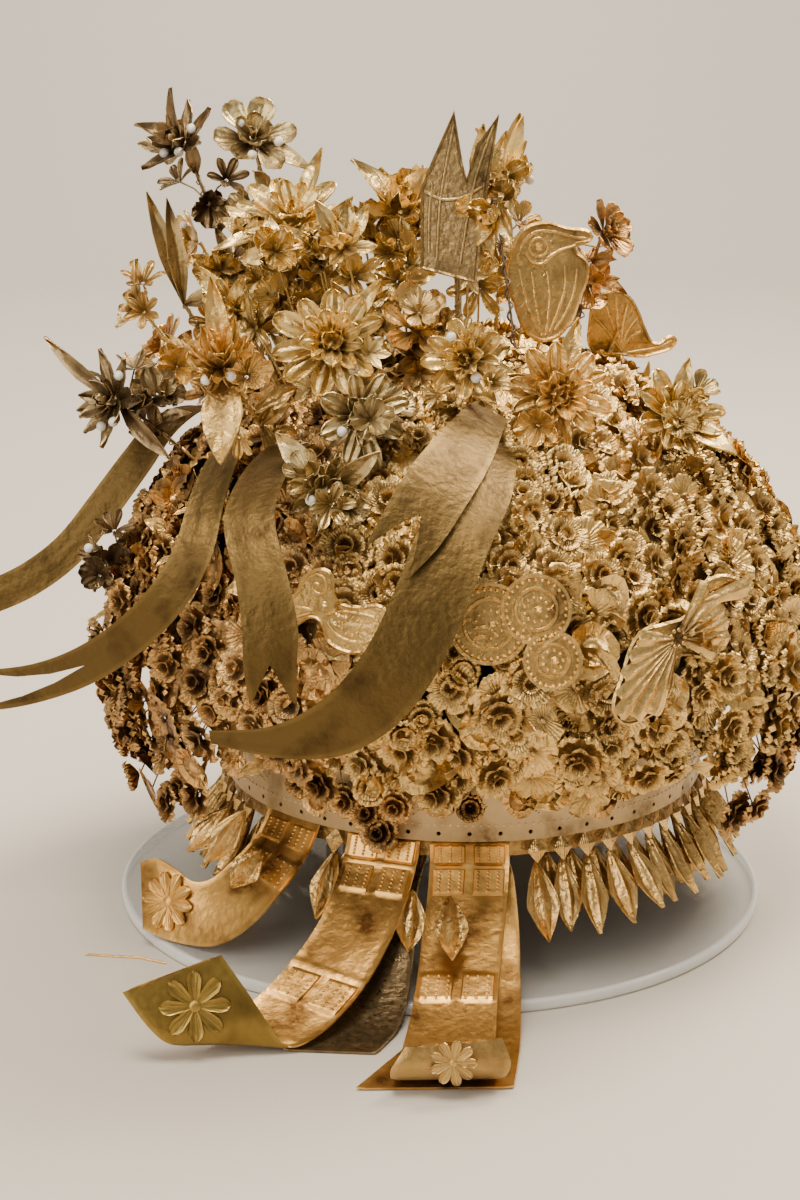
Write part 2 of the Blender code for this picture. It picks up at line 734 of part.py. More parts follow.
def stem_rows(head, facing, tree, wire=1.2, lean=0.45):
    """A wire stem from the mantle to the back of a flower, with a pointed foot all but touching the mantle."""
    top = Vector(head)
    place = None
    for sideways in (0.0, 6.0, -6.0):
        aim = Vector((lean * head[0] + sideways, lean * head[1], 150.0))
        way = (aim - top).normalized()
        place = tree.ray_cast(top * MM, way)[0]
        if place:
            break
    foot = place / MM - way * (GAP + 0.15)
    flare = foot - way * 4.0
    elbow = flare.lerp(top, 0.6) - Vector(facing).normalized() * 3.0
    return [
        (foot.x, foot.y, foot.z, 0.05),
        (flare.x, flare.y, flare.z, wire * 1.2),
        (elbow.x, elbow.y, elbow.z, wire),
        (top.x, top.y, top.z, wire),
    ]


# The clear stand is turned from one profile: disc, hidden post and pad.
stand = turned_mesh(
    "display_stand",
    (
        (0.0, PAD_TOP),
        (PAD_RADIUS, PAD_TOP),
        (PAD_RADIUS, PAD_TOP - 5.0),
        (9.0, PAD_TOP - 10.0),
        (9.0, DISC_THICKNESS + 4.0),
        (14.0, DISC_THICKNESS),
        (DISC_RADIUS - 2.5, DISC_THICKNESS),
        (DISC_RADIUS, DISC_THICKNESS - 1.8),
        (DISC_RADIUS, 1.0),
        (DISC_RADIUS - 1.0, 0.0),
        (0.0, 0.0),
    ),
    STAND_STEPS,
)
stand.transform(Matrix.Translation((DISC_CENTRE_X * MM, 0.0, 0.0)))
add_piece("display_stand", tidy_mesh(stand), (0.9, 0.93, 0.93), metallic=0.0, roughness=0.05)

# The dome is a thin sheet, open below, made of eight gores. A gore lies behind each panel of rosettes.
for panel_name, facing_degrees in PANEL_NAMES:
    gore_name = panel_name.replace("rosette_panel", "crown_frame")
    dome = turned_mesh(gore_name, FRAME_PROFILE, FRAME_STEPS)
    sheet = helper_object("gore_sheet", gore_of(dome, facing_degrees))
    wall = sheet.modifiers.new("Wall", "SOLIDIFY")
    wall.thickness = FRAME_WALL * MM
    wall.offset = -1.0
    wall.use_even_offset = True
    gore_mesh = tidy_mesh(evaluated_mesh(sheet))
    bpy.data.objects.remove(sheet)
    gore_mesh.name = gore_name
    add_piece(gore_name, gore_mesh, DARK_GILT, roughness=0.6)

# The diadem band goes round the front half, with a hole every few degrees along its foot.
band_outline = []
for radius, order in ((BAND_RADIUS + BAND_WALL, 1.0), (BAND_RADIUS, -1.0)):
    for step in range(BAND_STEPS + 1):
        turn = math.radians(-90.0 + order * BAND_HALF_ANGLE * (2.0 * step / BAND_STEPS - 1.0))
        band_outline.append((radius * math.cos(turn), radius * math.sin(turn)))
band_middle = (0.0, 0.0, (RIM_HEIGHT + BAND_TOP) / 2.0)
band = plate_mesh("band", band_outline, BAND_TOP - RIM_HEIGHT, band_middle, (1.0, 0.0, 0.0), (0.0, 1.0, 0.0))
drills = []
for hole in range(HOLES):
    angle = -90.0 + (BAND_HALF_ANGLE - 4.0) * (2.0 * hole / (HOLES - 1) - 1.0)
    centre = on_axis(angle, BAND_RADIUS + BAND_WALL / 2.0, HOLE_HEIGHT)
    drills.append(drill_mesh(f"drill_{hole}", HOLE_RADIUS, 5.0, centre, on_axis(angle, 1.0, 0.0)))
add_piece("diadem_band", cut("diadem_band", band, joined("band_drills", drills)), PALE_GILT, roughness=0.45)

# The mantle of rosettes is eight panels and a cap, each lumpy outside and smooth behind.
shuffle = random.Random(7)
mantle = []
for panel_name, panel_angle in PANEL_NAMES:
    panel = panel_mesh(panel_name, panel_angle, shuffle)
    add_piece(panel_name, panel, RUST_GILT if panel_angle in (-135.0, 180.0) else GILT, roughness=0.45)
    mantle.append(panel)
cap = cap_mesh("rosette_cap", shuffle)
add_piece("rosette_cap", cap, GILT, roughness=0.45)
mantle.append(cap)
mantle_tree = tree_of(mantle)

# The fringe is a ring with kite pendants, left out where the broad strips hang.
ring_profile = (
    (RING_INNER, RING_TOP),
    (RING_OUTER, RING_TOP),
    (RING_OUTER, RING_FOOT),
    (RING_INNER, RING_FOOT),
    (RING_INNER, RING_TOP),
)
ring = tidy_mesh(turned_mesh("ring", ring_profile, 40))
kites = []
swing = random.Random(11)
for left_angle in [KITE_START + KITE_SWEEP * n / KITE_STEPS for n in range(KITE_STEPS + 1)] + [LONE_KITE]:
    angle = -90.0 - left_angle
    out = Vector(on_axis(angle, 1.0, 0.0))
    side = Vector(on_axis(angle + 90.0, 1.0, 0.0))
    sway = side * swing.uniform(-1.0, 1.0)
    top = out * 96.8 + Vector((0.0, 0.0, 53.2))
    tip = out * swing.uniform(115.5, 118.5) + sway + Vector((0.0, 0.0, swing.uniform(21.0, 24.0)))
    kites.append(leaf_mesh("kite", top, tip, out, KITE_WIDTH, 1.6, widest=0.58))
add_piece("kite_fringe", fuse("kite_fringe", [ring, joined("kites", kites)]), GILT, roughness=0.4)

# Five stamped strips hang from the rim and curl on the table. Two have their flower raised on the end panel.
left_strip = strip_mesh("pendant_strip_left", STRIP_LEFT, 1.0, 9.0)
left_flower = star_mesh("left_flower", (-120.8, -71.4, 20.0), (-0.456, -0.766, 0.317), 8, 12.0, 0.55, 0.0, 1.7)
middle_strip = strip_mesh("pendant_strip_middle", STRIP_MIDDLE, 1.0, 13.0)
middle_panes = panes_mesh("middle_panes", STRIP_MIDDLE, (0, 1, 4))
middle_flower = star_mesh("middle_flower", (-101.6, -171.4, 20.6), (0.13, -0.889, 0.282), 8, 13.0, 0.55, 0.0, 1.8)
add_piece("pendant_strip_left", fuse("pendant_strip_left", [left_strip, left_flower]), WARM_GILT, roughness=0.35)
add_piece(
    "pendant_strip_middle",
    fuse("pendant_strip_middle", [middle_strip, middle_flower, middle_panes]),
    WARM_GILT,
    roughness=0.35,
)
add_piece("pendant_strip_dark", strip_mesh("pendant_strip_dark", STRIP_DARK, 1.0, 2.0, 0.2), DARK_GILT)
front_strip = strip_mesh("pendant_strip_front", STRIP_FRONT, 1.0, 5.0)
front_panes = panes_mesh("front_panes", STRIP_FRONT, (1, 2, 4))
add_piece("pendant_strip_front", fuse("pendant_strip_front", [front_strip, front_panes]), WARM_GILT, roughness=0.35)
add_piece("pendant_strip_rear", strip_mesh("pendant_strip_rear", STRIP_REAR, 1.0, 1.0, 0.1), WARM_GILT)

# Foil ribbons hang from the mantle's shoulder, with swallow tails.
for ribbon_name, ribbon_rows, notch, inward in (
    ("ribbon_far_left", RIBBON_FAR_LEFT, -14.0, (1.0, 0.15, -0.3)),
    ("ribbon_left_long", RIBBON_LEFT_LONG, -14.0, (0.7, 0.7, -0.3)),
    ("ribbon_left_short", RIBBON_LEFT_SHORT, -12.0, (0.6, 0.75, -0.3)),
    ("ribbon_centre_short", RIBBON_CENTRE_SHORT, -12.0, (-0.2, 0.7, -0.6)),
    ("ribbon_centre_long", RIBBON_CENTRE_LONG, 3.0, (-0.2, 0.8, -0.55)),
):
    ribbon = strip_mesh(ribbon_name, ribbon_rows, 1.0, notch, 0.6)
    add_piece(ribbon_name, seat(ribbon, inward, mantle_tree), OLIVE_GILT, roughness=0.3)

# Stamped plates lie against the mantle or stand on wires.
medallions = [
    plate_mesh(
        f"medallion_{number}",
        [(size * math.cos(math.tau * k / 12), size * math.sin(math.tau * k / 12)) for k in range(12)],
        1.6,
        (x, y, z),
        (1.0, lean, 0.0),
        (0.0, 0.25, 1.0),
    )
    for number, (x, y, z, size, lean) in enumerate(
        ((6.0, -146.0, 156.0, 15.0, 0.05), (23.0, -144.6, 161.0, 13.0, 0.09), (29.0, -148.7, 143.0, 11.0, 0.12))
    )
]
add_piece(
    "medallion_plates",
    seat(fuse("medallion_plates", medallions), (-0.1, 1.0, 0.0), mantle_tree),
    OLIVE_GILT,
)
bow_right = plate_mesh(
    "bow_plate_right",
    (
        (-28, -26), (-24, -9), (-16, 4), (-5, 6), (6, 8), (14, 19), (32, 17),
        (34, 13), (20, 9), (24, -3), (16, -9), (0, -8), (-2, -18), (-12, -27),
    ),
    2.0,
    (80, -132, 146),
    (0.86, 0.5, 0.0),
    (0.0, 0.15, 1.0),
)
add_piece("bow_plate_right", seat(bow_right, (-0.5, 0.85, 0.0), mantle_tree), PALE_GILT)
bow_left = plate_mesh(
    "bow_plate_left",
    (
        (-29, -2), (-24, 5), (-12, 4), (-6, 13), (3, 15), (6, 5), (14, 3), (24, 4), (27, 0),
        (26, -8), (17, -14), (4, -12), (-2, -3), (-12, -8), (-25, -12),
    ),
    2.0,
    (-62, -142, 158),
    (0.93, -0.36, 0.0),
    (0.0, 0.1, 1.0),
)
add_piece("bow_plate_left", seat(bow_left, (0.4, 0.9, 0.0), mantle_tree), GILT)

wing_head = (66.0, 38.0, 236.0)
wing = plate_mesh(
    "winged_plate",
    (
        (-11, -10), (-13, 2), (-10, 13), (-3, 16), (3, 14), (8, 7), (11, 0), (16, -7), (23, -4), (25, -7), (16, -12),
        (10, -13), (2, -12),
    ),
    2.0,
    wing_head,
    (1.0, 0.1, 0.0),
    (0.0, -0.1, 1.0),
)
wing_stem = wire_mesh("wing_stem", stem_rows(wing_head, (0.0, -1.0, 0.2), mantle_tree))
add_piece("winged_plate", fuse("winged_plate", [wing, wing_stem]), WARM_GILT)

bird_head = (32.0, -30.0, 266.0)
bird = plate_mesh(
    "bird_head",
    (
        (-15, 12), (-11, 19), (-2, 22), (6, 20), (17, 16), (10, 12), (15, 6), (12, -8), (7, -19), (0, -24),
        (-8, -22), (-14, -10), (-17, 2),
    ),
    3.0,
    bird_head,
    (1.0, 0.1, 0.0),
    (0.0, 0.1, 1.0),
)
bird_stem = wire_mesh("bird_stem", stem_rows((31.0, -30.0, 258.0), (0.0, -1.0, 0.2), mantle_tree))
add_piece("bird_head", fuse("bird_head", [bird, bird_stem]), PALE_GILT)

box_centre = (-7.0, -60.0, 298.0)
box_leaf = plate_mesh(
    "box_leaf",
    (
        (-12, -24), (9, -29), (11, -7), (13, 8), (17, 34), (9, 22), (5, 10), (3, 16), (0, 35), (-8, 16), (-12, 6),
    ),
    2.4,
    box_centre,
    (1.0, -0.15, 0.0),
    (0.0, 0.05, 1.0),
)
box_stem = wire_mesh("box_stem", stem_rows((-5.0, -60.0, 280.0), (0.0, -1.0, 0.2), mantle_tree, lean=0.95))
add_piece("box_leaf", fuse("box_leaf", [box_leaf, box_stem]), OLIVE_GILT)

# A spray of long willow leaves on its own wire.
spray_head = (-117.0, 24.0, 248.0)
spray = [
    star_mesh("willow_calyx", spray_head, (0.0, -0.5, 0.8), 5, 4.0, 0.5, 1.0, 2.4),
    wire_mesh("willow_stem", stem_rows((-117.0, 24.2, 247.2), (0.0, -1.0, 0.3), mantle_tree)),
]
for number, (tip, width) in enumerate((((-131, 20, 295), 8), ((-122, 12, 293), 8), ((-95, 2, 259), 7))):
    spray.append(leaf_mesh(f"willow_{number}", (-117.0, 23.9, 248.4), tip, (0.2, -1.0, 0.2), width))
add_piece("willow_spray", fuse("willow_spray", spray), OLIVE_GILT)

# Blossoms, each with its stem and the leaves that grow from it.
for row in BLOSSOMS:
    flower_name = row[0]
    head = row[1:4]
    facing = row[4:7]
    petals, radius, cup, colour = row[7:]
    parts = [star_mesh(flower_name, head, facing, petals, radius, 0.52, cup, 2.6)]
    back = Vector(head) - Vector(facing).normalized() * 0.9
    parts.append(wire_mesh(f"{flower_name}_stem", stem_rows(tuple(back), facing, mantle_tree)))
    for number, leaf in enumerate(leaf for leaf in LEAVES if leaf[0] == flower_name):
        parts.append(leaf_mesh(f"{flower_name}_leaf_{number}", back, leaf[1:4], facing, leaf[4]))
    add_piece(flower_name, fuse(flower_name, parts), colour)

bpy.data.collections.remove(CUTTERS)
total = 0
for piece in HEADDRESS.objects:
    piece.data.calc_loop_triangles()
    total += len(piece.data.loop_triangles)
    print(piece.name, len(piece.data.loop_triangles))
print("triangles", total, "pieces", len(HEADDRESS.objects))
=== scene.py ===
# %% [markdown]
# A gilt ceremonial headdress, dressed for the camera.
# The solids underneath already have their real sizes and places. This lesson gives them their looks:
# stamped foil flowers, foil ribbons, embossed strips and tarnished gilding. The frame is loaded first,
# because every piece below is placed on it. One could model the looks in an empty scene and fit them
# afterwards, but a piece that reads its place from the frame never needs fitting.

# %% Load the frame
import math
import random

import bmesh
import bpy
from mathutils import Matrix, Vector
from mathutils.bvhtree import BVHTree


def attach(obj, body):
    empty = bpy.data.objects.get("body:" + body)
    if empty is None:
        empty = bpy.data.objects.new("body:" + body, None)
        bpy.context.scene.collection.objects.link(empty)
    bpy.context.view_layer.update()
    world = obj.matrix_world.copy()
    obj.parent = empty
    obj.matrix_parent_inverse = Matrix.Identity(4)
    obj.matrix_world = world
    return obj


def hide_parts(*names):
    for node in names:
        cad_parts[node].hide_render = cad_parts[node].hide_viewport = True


MM = 0.001
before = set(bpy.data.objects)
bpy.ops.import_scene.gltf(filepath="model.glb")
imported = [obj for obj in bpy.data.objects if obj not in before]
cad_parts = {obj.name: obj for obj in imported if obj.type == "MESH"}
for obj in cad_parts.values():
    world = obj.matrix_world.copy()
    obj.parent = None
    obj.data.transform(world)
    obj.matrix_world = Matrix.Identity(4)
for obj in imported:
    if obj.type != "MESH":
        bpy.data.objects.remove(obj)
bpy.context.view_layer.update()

# %% [markdown]
# The headdress is seen from a little above and straight on. A long lens a metre away keeps the dome round.
# A camera could be aimed with a constraint, but plain numbers for its place and tilt are easier to check.

# %% Camera
CAMERA_PLACE = (-0.027, -0.974, 0.395)
CAMERA_TILT = math.radians(90.0 - 15.4)
CAMERA_LENS = 72.0
SENSOR_SIDE = 36.0
VIEW_DEPTH = 20.0

view_data = bpy.data.cameras.new("photo_camera")
view_data.sensor_fit = "VERTICAL"
view_data.sensor_height = SENSOR_SIDE
view_data.sensor_width = SENSOR_SIDE
view_data.lens = CAMERA_LENS
view_data.clip_end = VIEW_DEPTH
camera = bpy.data.objects.new("photo_camera", view_data)
camera.location = CAMERA_PLACE
camera.rotation_euler = (CAMERA_TILT, 0.0, 0.0)
bpy.context.scene.collection.objects.link(camera)
bpy.context.scene.camera = camera
print("camera", CAMERA_PLACE)

# %% [markdown]
# The pieces are shaped in edit mode, as by hand. A hand would click the points to move. In code they are
# picked by where they lie, so a few helpers open a mesh, pick its points, edges or faces by a test, and
# close it again.

# %% Helpers for edit mode
def deselect():
    """Leaves nothing selected, because an operator acts on all that is."""
    for thing in list(bpy.context.selected_objects):
        thing.select_set(False)


def take(thing):
    """Selects one object alone and makes it the active one."""
    deselect()
    thing.select_set(True)
    bpy.context.view_layer.objects.active = thing


def start_edit(thing):
    """Opens one object in edit mode with nothing selected in it."""
    take(thing)
    bpy.ops.object.mode_set(mode="EDIT")
    bpy.ops.mesh.select_all(action="DESELECT")


def end_edit():
    """Goes back to object mode and hands over the object."""
    bpy.ops.object.mode_set(mode="OBJECT")
    return bpy.context.object


def pick(kind, test):
    """Selects the vertices, edges or faces of the open mesh whose middle passes a test."""
    bpy.ops.mesh.select_all(action="DESELECT")
    bpy.ops.mesh.select_mode(type=kind)
    data = bpy.context.object.data
    work = bmesh.from_edit_mesh(data)
    groups = {"VERT": work.verts, "EDGE": work.edges, "FACE": work.faces}
    for part in groups[kind]:
        if kind == "VERT":
            middle = part.co
        elif kind == "EDGE":
            middle = (part.verts[0].co + part.verts[1].co) / 2.0
        else:
            middle = part.calc_center_median()
        if test(middle):
            part.select_set(True)
    work.select_flush_mode()
    bmesh.update_edit_mesh(data)


print("edit mode helpers ready")

# %% [markdown]
# The floor is a pale sheet that bends up behind, as in a photo studio. One plane with its far edge
# extruded upwards does it, and a bevel rounds the bend. A separate wall would show a line.

# %% Floor
FLOOR_SIZE = 6.5
FLOOR_BACK = 2.6
WALL_HEIGHT = 3.0
BEND_RADIUS = 0.7
BEND_STEPS = 16
FLOOR_COLOUR = (0.62, 0.56, 0.48, 1.0)
FLOOR_ROUGHNESS = 0.6

deselect()
bpy.ops.mesh.primitive_plane_add(size=FLOOR_SIZE, location=(0.0, FLOOR_BACK - FLOOR_SIZE / 2.0, 0.0))
floor = bpy.context.object
floor.name = "floor"
bpy.ops.object.transform_apply(location=True)
start_edit(floor)
pick("EDGE", lambda middle: middle.y > FLOOR_BACK - 0.01)
bpy.ops.mesh.extrude_edges_move(TRANSFORM_OT_translate={"value": (0.0, 0.0, WALL_HEIGHT)})
floor = end_edit()
rounding = floor.modifiers.new("Bend", "BEVEL")
rounding.width = BEND_RADIUS
rounding.segments = BEND_STEPS
rounding.limit_method = "ANGLE"
take(floor)
bpy.ops.object.modifier_apply(modifier="Bend")
bpy.ops.object.shade_smooth()
paper = bpy.data.materials.new("floor_paper")
paper.use_nodes = True
paper_shader = paper.node_tree.nodes["Principled BSDF"]
paper_shader.inputs["Base Color"].default_value = FLOOR_COLOUR
paper_shader.inputs["Roughness"].default_value = FLOOR_ROUGHNESS
floor.data.materials.append(paper)
print("floor", len(floor.data.polygons), "faces")

# %% [markdown]
# A lamp behind on the right picks out the edges of the foil, one above and a broad one on the left fill
# the front, and the last washes the wall. A single broad lamp would be simpler, but metal shows what it
# mirrors, and under one lamp the gilding goes flat.

# %% Lights
# Each row is a name, a place, what it aims at, its width, its watts and its colour.
LIGHTS = (
    ("key", (0.65, 0.45, 1.25), (0.0, 0.0, 0.15), 0.6, 29.0, (1.0, 0.90, 0.75)),
    ("top", (-0.1, -0.35, 1.35), (0.0, 0.0, 0.15), 0.6, 18.0, (1.0, 0.91, 0.78)),
    ("fill", (-0.9, -1.2, 0.8), (0.0, 0.0, 0.12), 1.2, 15.0, (1.0, 0.93, 0.83)),
    ("wall_wash", (0.0, 1.1, 1.9), (0.0, 2.6, 0.7), 1.2, 52.0, (1.0, 0.96, 0.90)),
)

for name, place, aim, width, watts, tint in LIGHTS:
    lamp = bpy.data.lights.new(name, "AREA")
    lamp.size = width
    lamp.energy = watts
    lamp.color = tint
    light = bpy.data.objects.new(name, lamp)
    light.location = place
    light.rotation_euler = (Vector(aim) - Vector(place)).to_track_quat("-Z", "Y").to_euler()
    bpy.context.scene.collection.objects.link(light)
print("lights", len(bpy.data.lights))

# %% [markdown]
# The room is brown low down and pale above, so that each petal has a dark and a bright side. A world of
# one grey would be quicker, but foil in it looks like paint.

# %% Room light
ROOM_LOW = (0.26, 0.23, 0.19, 1.0)
ROOM_HIGH = (1.0, 0.94, 0.84, 1.0)
ROOM_HIGH_AT = 0.9
ROOM_STRENGTH = 0.66

room = bpy.data.worlds.new("room")
room.use_nodes = True
bpy.context.scene.world = room
nodes = room.node_tree.nodes
links = room.node_tree.links
room_place = nodes.new("ShaderNodeTexCoord")
room_split = nodes.new("ShaderNodeSeparateXYZ")
room_ramp = nodes.new("ShaderNodeValToRGB")
links.new(room_place.outputs["Generated"], room_split.inputs["Vector"])
links.new(room_split.outputs["Z"], room_ramp.inputs["Fac"])
room_ramp.color_ramp.elements[0].position = 0.0
room_ramp.color_ramp.elements[0].color = ROOM_LOW
room_ramp.color_ramp.elements[1].position = ROOM_HIGH_AT
room_ramp.color_ramp.elements[1].color = ROOM_HIGH
links.new(room_ramp.outputs["Color"], nodes["Background"].inputs["Color"])
nodes["Background"].inputs["Strength"].default_value = ROOM_STRENGTH
print("room strength", ROOM_STRENGTH)

# %% [markdown]
# Materials are built from nodes, and most of the nodes here do one of four things: mix two colours, do a
# sum, make noise or stretch a value. A helper for each keeps the networks short enough to read.

# %% Helpers for nodes
def mix_colour(tree, share, first, second):
    """A colour mix whose share and colours may be sockets or plain values."""
    mix = tree.nodes.new("ShaderNodeMix")
    mix.data_type = "RGBA"
    for index, value in ((0, share), (6, first), (7, second)):
        if hasattr(value, "is_linked"):
            tree.links.new(value, mix.inputs[index])
        else:
            mix.inputs[index].default_value = value
    return mix.outputs[2]


def maths(tree, operation, first, second=0.0, clamp=False):
    """One step of arithmetic on sockets or plain values."""
    step = tree.nodes.new("ShaderNodeMath")
    step.operation = operation
    step.use_clamp = clamp
    for index, value in ((0, first), (1, second)):
        if hasattr(value, "is_linked"):
            tree.links.new(value, step.inputs[index])
        else:
            step.inputs[index].default_value = value
    return step.outputs[0]


def noise(tree, vector, scale, detail=3.0, rough=0.55):
    """A noise value at a scale given in spots per metre."""
    made = tree.nodes.new("ShaderNodeTexNoise")
    made.inputs["Scale"].default_value = scale
    made.inputs["Detail"].default_value = detail
    made.inputs["Roughness"].default_value = rough
    tree.links.new(vector, made.inputs["Vector"])
    return made.outputs["Fac"]


def spread(tree, value, low, high, out_low=0.0, out_high=1.0):
    """Stretches a value from one range to another, held at the ends."""
    made = tree.nodes.new("ShaderNodeMapRange")
    limits = (("From Min", low), ("From Max", high), ("To Min", out_low), ("To Max", out_high))
    for name, number in limits:
        made.inputs[name].default_value = number
    tree.links.new(value, made.inputs["Value"])
    return made.outputs["Result"]


print("node helpers ready")

# %% [markdown]
# Old gilding is never one colour. Where fingers and dust have worn it, it is pale and bright; in the
# hollows a painted shade makes it brown; and between them it drifts in patches a thumb wide. A painted image
# could hold this, but noise that reads the object's own coordinates covers any shape. It is built once as a
# node group, which puts out a colour, a roughness and a height, and each material sets its own three golds.
# Petals have pressed ribs too, which fan out from the foot. An attribute tells how far round the fan a point
# lies, and a sine of it is the ribs.

# %% Node group: aged gilding
PATCHES_PER_METRE = 55.0
CRUMPLES_PER_METRE = 340.0
MOTTLE_PER_METRE = 420.0
GRIT_PER_METRE = 1900.0
RIB_FREQUENCY = 46.0
COOL_GOLD = (0.66, 0.50, 0.24, 1.0)
WARM_BROWN = (0.15, 0.08, 0.027, 1.0)


def socket(tree, name, kind, way, value=None):
    """One named socket of a node group."""
    made = tree.interface.new_socket(name=name, in_out=way, socket_type=kind)
    if value is not None:
        made.default_value = value
    return made


gilding = bpy.data.node_groups.new("aged_gilding", "ShaderNodeTree")
for name, kind, value in (
    ("Vector", "NodeSocketVector", None),
    ("Bright", "NodeSocketColor", (0.86, 0.68, 0.40, 1.0)),
    ("Middle", "NodeSocketColor", (0.60, 0.44, 0.22, 1.0)),
    ("Deep", "NodeSocketColor", (0.20, 0.12, 0.05, 1.0)),
    ("Wear_and_shade", "NodeSocketFloat", 0.5),
    ("Tone", "NodeSocketFloat", 0.0),
    ("Tarnish", "NodeSocketFloat", 0.4),
    ("Crumple", "NodeSocketFloat", 1.0),
    ("Rib", "NodeSocketFloat", 0.0),
):
    socket(gilding, name, kind, "INPUT", value)
for name, kind in (("Color", "Color"), ("Roughness", "Float"), ("Height", "Float")):
    socket(gilding, name, "NodeSocket" + kind, "OUTPUT")
given = gilding.nodes.new("NodeGroupInput").outputs
result = gilding.nodes.new("NodeGroupOutput").inputs
patches = noise(gilding, given["Vector"], PATCHES_PER_METRE, 2.0)
mottle = noise(gilding, given["Vector"], MOTTLE_PER_METRE, 4.0, 0.65)
grit = noise(gilding, given["Vector"], GRIT_PER_METRE, 2.0)

# Worn places and the high spots of the mottle are bright.
bright_share = maths(gilding, "MULTIPLY", given["Wear_and_shade"], 0.9)
bright_share = maths(gilding, "ADD", bright_share, maths(gilding, "MULTIPLY", mottle, 0.8))
bright_share = maths(gilding, "SUBTRACT", bright_share, 0.45, clamp=True)
worn = mix_colour(gilding, bright_share, given["Middle"], given["Bright"])

# Hollows get a painted shade and patches are dirty, and the mottle breaks both up.
hollow = maths(gilding, "SUBTRACT", 0.78, maths(gilding, "MULTIPLY", given["Wear_and_shade"], 1.3), clamp=True)
patch_dirt = maths(gilding, "MULTIPLY", spread(gilding, patches, 0.48, 0.72), given["Tarnish"])
dirt_and_shade = maths(gilding, "ADD", hollow, patch_dirt)
dirt_and_shade = maths(gilding, "MULTIPLY", dirt_and_shade, spread(gilding, mottle, 0.25, 0.60, 0.55, 1.25), clamp=True)
soiled_and_shaded = mix_colour(gilding, dirt_and_shade, worn, given["Deep"])

# The tone of a copy leans it towards a cooler gold or a warm brown.
cooler = spread(gilding, given["Tone"], 0.0, 1.0, 0.0, 0.35)
warmer = spread(gilding, given["Tone"], 0.0, -1.0, 0.0, 0.45)
toned = mix_colour(gilding, cooler, soiled_and_shaded, COOL_GOLD)
toned = mix_colour(gilding, warmer, toned, WARM_BROWN)
gilding.links.new(toned, result["Color"])

# Dirt and painted shade are duller, and the relief adds crumples, grit and ribs.
plain_gloss = spread(gilding, mottle, 0.3, 0.7, 0.2, 0.42)
gloss = maths(gilding, "ADD", plain_gloss, maths(gilding, "MULTIPLY", dirt_and_shade, 0.25))
gilding.links.new(gloss, result["Roughness"])
crumples = noise(gilding, given["Vector"], CRUMPLES_PER_METRE, 2.0, 0.5)
crumples = maths(gilding, "MULTIPLY", crumples, given["Crumple"])
ribs = maths(gilding, "SINE", maths(gilding, "MULTIPLY", given["Rib"], RIB_FREQUENCY))
relief = maths(gilding, "ADD", crumples, maths(gilding, "MULTIPLY", grit, 0.12))
relief = maths(gilding, "ADD", relief, maths(gilding, "MULTIPLY", ribs, 0.14))
gilding.links.new(relief, result["Height"])
print("group", gilding.name, "with", len(gilding.nodes), "nodes")

# %% [markdown]
# Each material places that group beside its own Principled shader. Tone and a mark of rubbing arrive as
# attributes: a petal knows how far out from its hollow a point lies, which gives both its rubbed high places
# and the painted shade of its hollow, and each copy of a flower has its own tint. The bump takes the height.
# The three golds of a coat are those of its bright, middle and deep places.

# %% Gilt materials
BUMP_DEPTH = 1.2


def started_material(name):
    """A new material, its node tree, its shader and the object's own coordinates."""
    made = bpy.data.materials.new(name)
    made.use_nodes = True
    tree = made.node_tree
    place = tree.nodes.new("ShaderNodeTexCoord").outputs["Object"]
    return made, tree, tree.nodes["Principled BSDF"], place


def gilt_material(name, bright, middle, deep, tarnish, crumple, bump=0.25, metallic=0.9, gloss=None):
    """Aged gilding in three golds."""
    made, tree, shader, place = started_material(name)
    aged = tree.nodes.new("ShaderNodeGroup")
    aged.node_tree = gilding
    tree.links.new(place, aged.inputs["Vector"])
    # The first attribute carries both the rubbed high places and the painted shade of the hollows.
    for word in ("wear_and_shade", "tone", "rib"):
        seen = tree.nodes.new("ShaderNodeAttribute")
        seen.attribute_name = word
        tree.links.new(seen.outputs["Fac"], aged.inputs[word.capitalize()])
    for word, colour in (("Bright", bright), ("Middle", middle), ("Deep", deep)):
        aged.inputs[word].default_value = (*colour, 1.0)
    aged.inputs["Tarnish"].default_value = tarnish
    aged.inputs["Crumple"].default_value = crumple
    lift = tree.nodes.new("ShaderNodeBump")
    lift.inputs["Strength"].default_value = bump
    lift.inputs["Distance"].default_value = BUMP_DEPTH * MM
    tree.links.new(aged.outputs["Height"], lift.inputs["Height"])
    tree.links.new(lift.outputs["Normal"], shader.inputs["Normal"])
    tree.links.new(aged.outputs["Color"], shader.inputs["Base Color"])
    roughness = aged.outputs["Roughness"]
    if gloss is not None:
        roughness = spread(tree, roughness, 0.2, 0.8, gloss, gloss + 0.25)
    tree.links.new(roughness, shader.inputs["Roughness"])
    shader.inputs["Metallic"].default_value = metallic
    return made


ROSETTE_GILT = gilt_material(
    "rosette_gilt", (1.0, 0.66, 0.22), (0.58, 0.37, 0.125), (0.16, 0.085, 0.03),
    tarnish=0.45, crumple=1.7, bump=0.5, metallic=0.85, gloss=0.32,
)
ROSETTE_RUST = gilt_material(
    "rosette_rust", (0.86, 0.49, 0.16), (0.32, 0.145, 0.038), (0.035, 0.013, 0.005),
    tarnish=0.75, crumple=1.6, bump=0.45, metallic=0.84, gloss=0.3,
)
PALE_FOIL = gilt_material(
    "pale_foil", (1.0, 0.74, 0.29), (0.61, 0.43, 0.17), (0.12, 0.072, 0.028),
    tarnish=0.4, crumple=1.4, bump=0.35, metallic=0.94,
)
OLIVE_FOIL = gilt_material(
    "olive_foil", (0.76, 0.60, 0.30), (0.36, 0.25, 0.095), (0.07, 0.04, 0.015),
    tarnish=0.6, crumple=1.1, bump=0.3,
)
